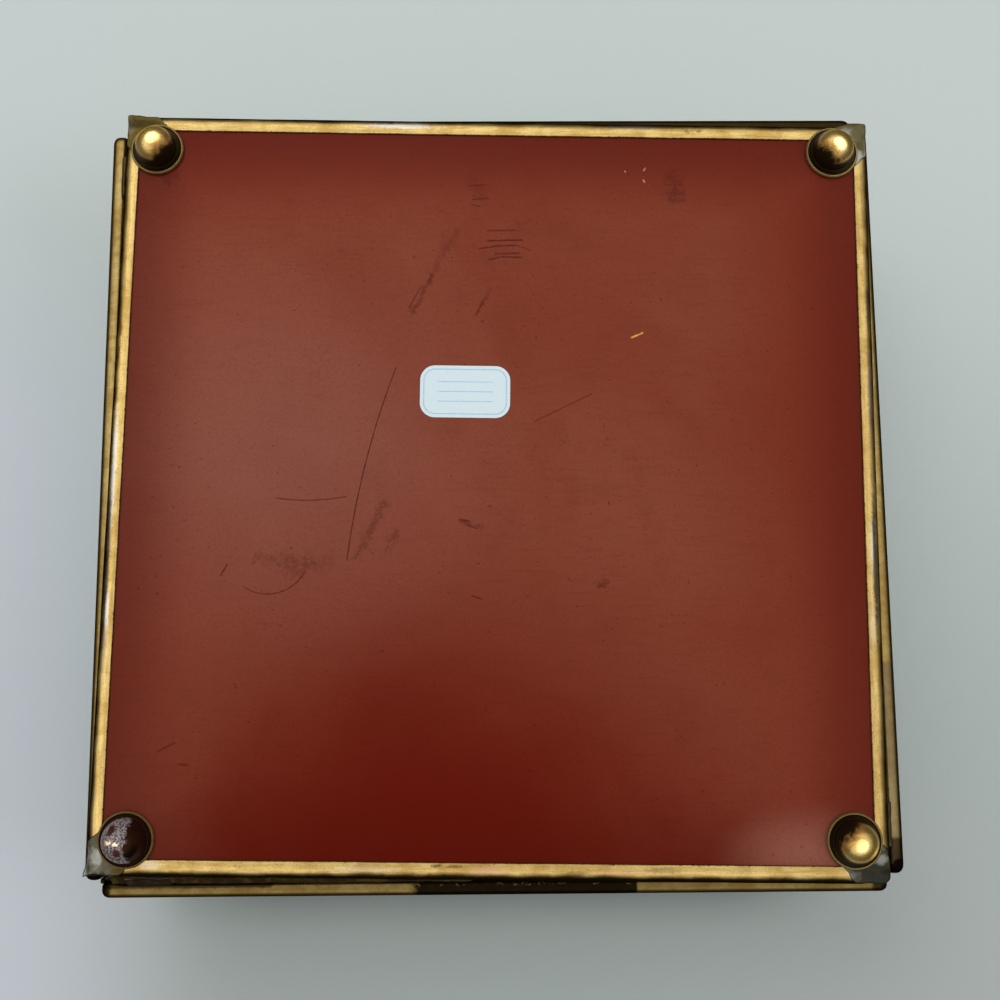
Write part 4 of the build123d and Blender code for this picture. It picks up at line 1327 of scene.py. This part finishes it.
# the tray's solder corners are not alike: what each outer corner looks like, in millimetres from the true corner
cornerShapes = {
    (-1, -1): ((0.0, 0.0),),
    (1, -1): ((0.05, 1.6), (0.1, -0.55), (3.6, -0.6)),
    (-1, 1): ((0.1, 2.4), (-0.5, -0.2), (1.3, 0.35), (3.6, 0.1)),
    (1, 1): ((0.0, 1.3), (0.45, 0.45), (1.3, 0.0)),
}


def cornerBlocks(name, centre, width, depth, sideLeg, endLeg, gap, low, high, turn, shapes=None, over=0.0):
    # a block over each corner of a flat frame, between the rails' mitred ends
    mesh = bpy.data.meshes.new(name)
    work = bmesh.new()
    for x, y in ((-1, -1), (1, -1), (-1, 1), (1, 1)):
        point = shapes[x, y] if shapes else ((0, 0),)
        reach = gap + (over if shapes else 0.0)
        outline = (*point, (reach, 0.15), (reach + endLeg, endLeg), (sideLeg, reach + sideLeg), (0.15, reach))
        rings = []
        for z in (low, high):
            rings.append([work.verts.new((x * (width / 2 - a) * mm, y * (depth / 2 - b) * mm, z * mm)) for a, b in outline])
        work.faces.new(rings[0])
        work.faces.new(rings[1])
        for i in range(len(outline)):
            j = (i + 1) % len(outline)
            work.faces.new((rings[0][i], rings[0][j], rings[1][j], rings[1][i]))
    bmesh.ops.recalc_face_normals(work, faces=work.faces)
    bmesh.ops.transform(work, matrix=Matrix.Translation(centre) @ Matrix.Rotation(math.radians(turn), 4, "Z"), verts=work.verts)
    work.to_mesh(mesh)
    work.free()
    return mesh


def seamBlocks(name, node):
    # an upright block in each corner of the walls, inside the notch that the panels leave open
    low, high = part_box(node)
    mesh = bpy.data.meshes.new(name)
    work = bmesh.new()
    inner, outer = seamLook["inner"] * mm, seamLook["outer"] * mm
    for x in (-1, 1):
        for y in (-1, 1):
            top = high.z - (seamLook["backLower"] * mm if y > 0 else 0.0)
            foot = low.z + seamLook["lift"] * mm
            centre = (x * (ringHalf.x - (inner + outer) / 2), y * (ringHalf.y - (inner + outer) / 2) + ringMiddle.y, (foot + top) / 2)
            size = Matrix.Diagonal((inner - outer, inner - outer, top - foot, 1.0))
            bmesh.ops.create_cube(work, size=1.0, matrix=Matrix.Translation(centre) @ size)
    work.to_mesh(mesh)
    work.free()
    return mesh


def smearAndGapShade(mesh, look):
    # flux and solder that ran along the gap between the tray and the back wall, a dark strip that also stands in for
    # the shade in that gap
    work = bmesh.new()
    work.from_mesh(mesh)
    low, high = look["from"], look["to"]
    corners = [(x, y, z) for z in look["level"] for x, y in (low[0], low[1], high[1], high[0])]
    verts = [work.verts.new(tuple(c * mm for c in corner)) for corner in corners]
    for face in ((0, 1, 2, 3), (4, 5, 6, 7), (0, 1, 5, 4), (1, 2, 6, 5), (2, 3, 7, 6), (3, 0, 4, 7)):
        work.faces.new([verts[i] for i in face])
    bmesh.ops.recalc_face_normals(work, faces=work.faces)
    work.to_mesh(mesh)
    work.free()
    return mesh


def cutBox(piece, centre, size, turn):
    # takes a plate's place out of a piece
    cutter = bpy.data.objects.new("cutter", bpy.data.meshes.new("cutter"))
    bpy.context.scene.collection.objects.link(cutter)
    work = bmesh.new()
    bmesh.ops.create_cube(work, size=1.0, matrix=Matrix.Translation(centre) @ Matrix.Rotation(math.radians(turn), 4, "Z")
                          @ Matrix.Diagonal((*(s * mm for s in size), 1.0)))
    work.to_mesh(cutter.data)
    work.free()
    modifier = piece.modifiers.new("cut", "BOOLEAN")
    modifier.operation = "DIFFERENCE"
    modifier.solver = "EXACT"
    modifier.object = cutter
    bpy.context.view_layer.update()
    shaped = bpy.data.meshes.new_from_object(piece.evaluated_get(bpy.context.evaluated_depsgraph_get()))
    piece.modifiers.clear()
    piece.data = shaped
    bpy.data.objects.remove(cutter)


gapShadeSmearLook = {
    "from": ((-73.0, 75.5), (-73.0, 77.9)),
    "to": ((-4.0, 76.7), (-4.0, 77.9)),
    "level": (6.4, 7.2),
}
seamLook = {
    "inner": 3.7,  # from the outer faces of the walls
    "outer": 2.15,
    "backLower": 2.4,
    "lift": 2.4,
}
ringLow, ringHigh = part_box("left_came")[0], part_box("right_came")[1]
ringLow.y, ringHigh.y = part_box("front_came")[0].y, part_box("back_came")[1].y
ringMiddle = (ringLow + ringHigh) / 2
ringHalf = (ringHigh - ringLow) / 2
solderRule = makeSolderRule()
half = stripLook["thick"] / 2
starts = {
    "base_corner_solder": cornerBlocks("baseCornerBlocks", trayCentre, trayLook["width"], trayLook["depth"], trayLook["sideLeg"],
                                       trayLook["endLeg"], trayLook["gap"], -half - 0.16, half - 0.05, trayLook["turn"],
                                       cornerShapes, 0.7),
    "lid_corner_solder": cornerBlocks("lidCornerBlocks", lidCentre, lidWidth, lidDepth, lidLook["leg"],
                                      lidLook["leg"], lidLook["gap"], 0.06 - half, half, 0.0),
    "corner_seam_solder": seamBlocks("cornerSeamBlocks", "corner_seam_solder"),
    "tray_tack_solder": smearAndGapShade(mergedCopy("tray_tack_solder"), gapShadeSmearLook),
}
plates = {
    "base_corner_solder": (trayCentre, (trayLook["plate"][0], trayLook["plate"][1], trayLook["glass"]), trayLook["turn"]),
    "lid_corner_solder": (lidCentre, lidPane, 0.0),
}
for node, look in solderFlow.items():
    run = grow(look["name"], starts.get(node) or mergedCopy(node), solderRule, {
        "Voxel": look["voxel"] * mm, "Swell": look["swell"] * mm, "Lump": look["lump"] * mm,
        "Lump Size": look["lumpSize"] * mm, "Seed": float(look["seed"]), "Soften": look["soften"],
        "Material": look["skin"],
    }, 80.0)
    if node in plates:
        cutBox(run, *plates[node])
    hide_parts(node)
    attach(run, look["body"])
    print("solder", look["name"], len(run.data.polygons), "faces")


# Panes, plate and label
for side in ("front", "back", "left", "right"):
    dress(side + "_glass", glass)
dress("lid_glass", glass)
dress("base_mirror", paint)
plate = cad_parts["base_mirror"].data
plate.materials.append(silver)
for face in plate.polygons:
    face.material_index = 1 if face.normal.z > 0.9 else 0
labelLow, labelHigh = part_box("label")
dress("label", paperMaterial(paperLook, (labelLow + labelHigh) / 2, trayLook["turn"]))

print("casket is dressed")
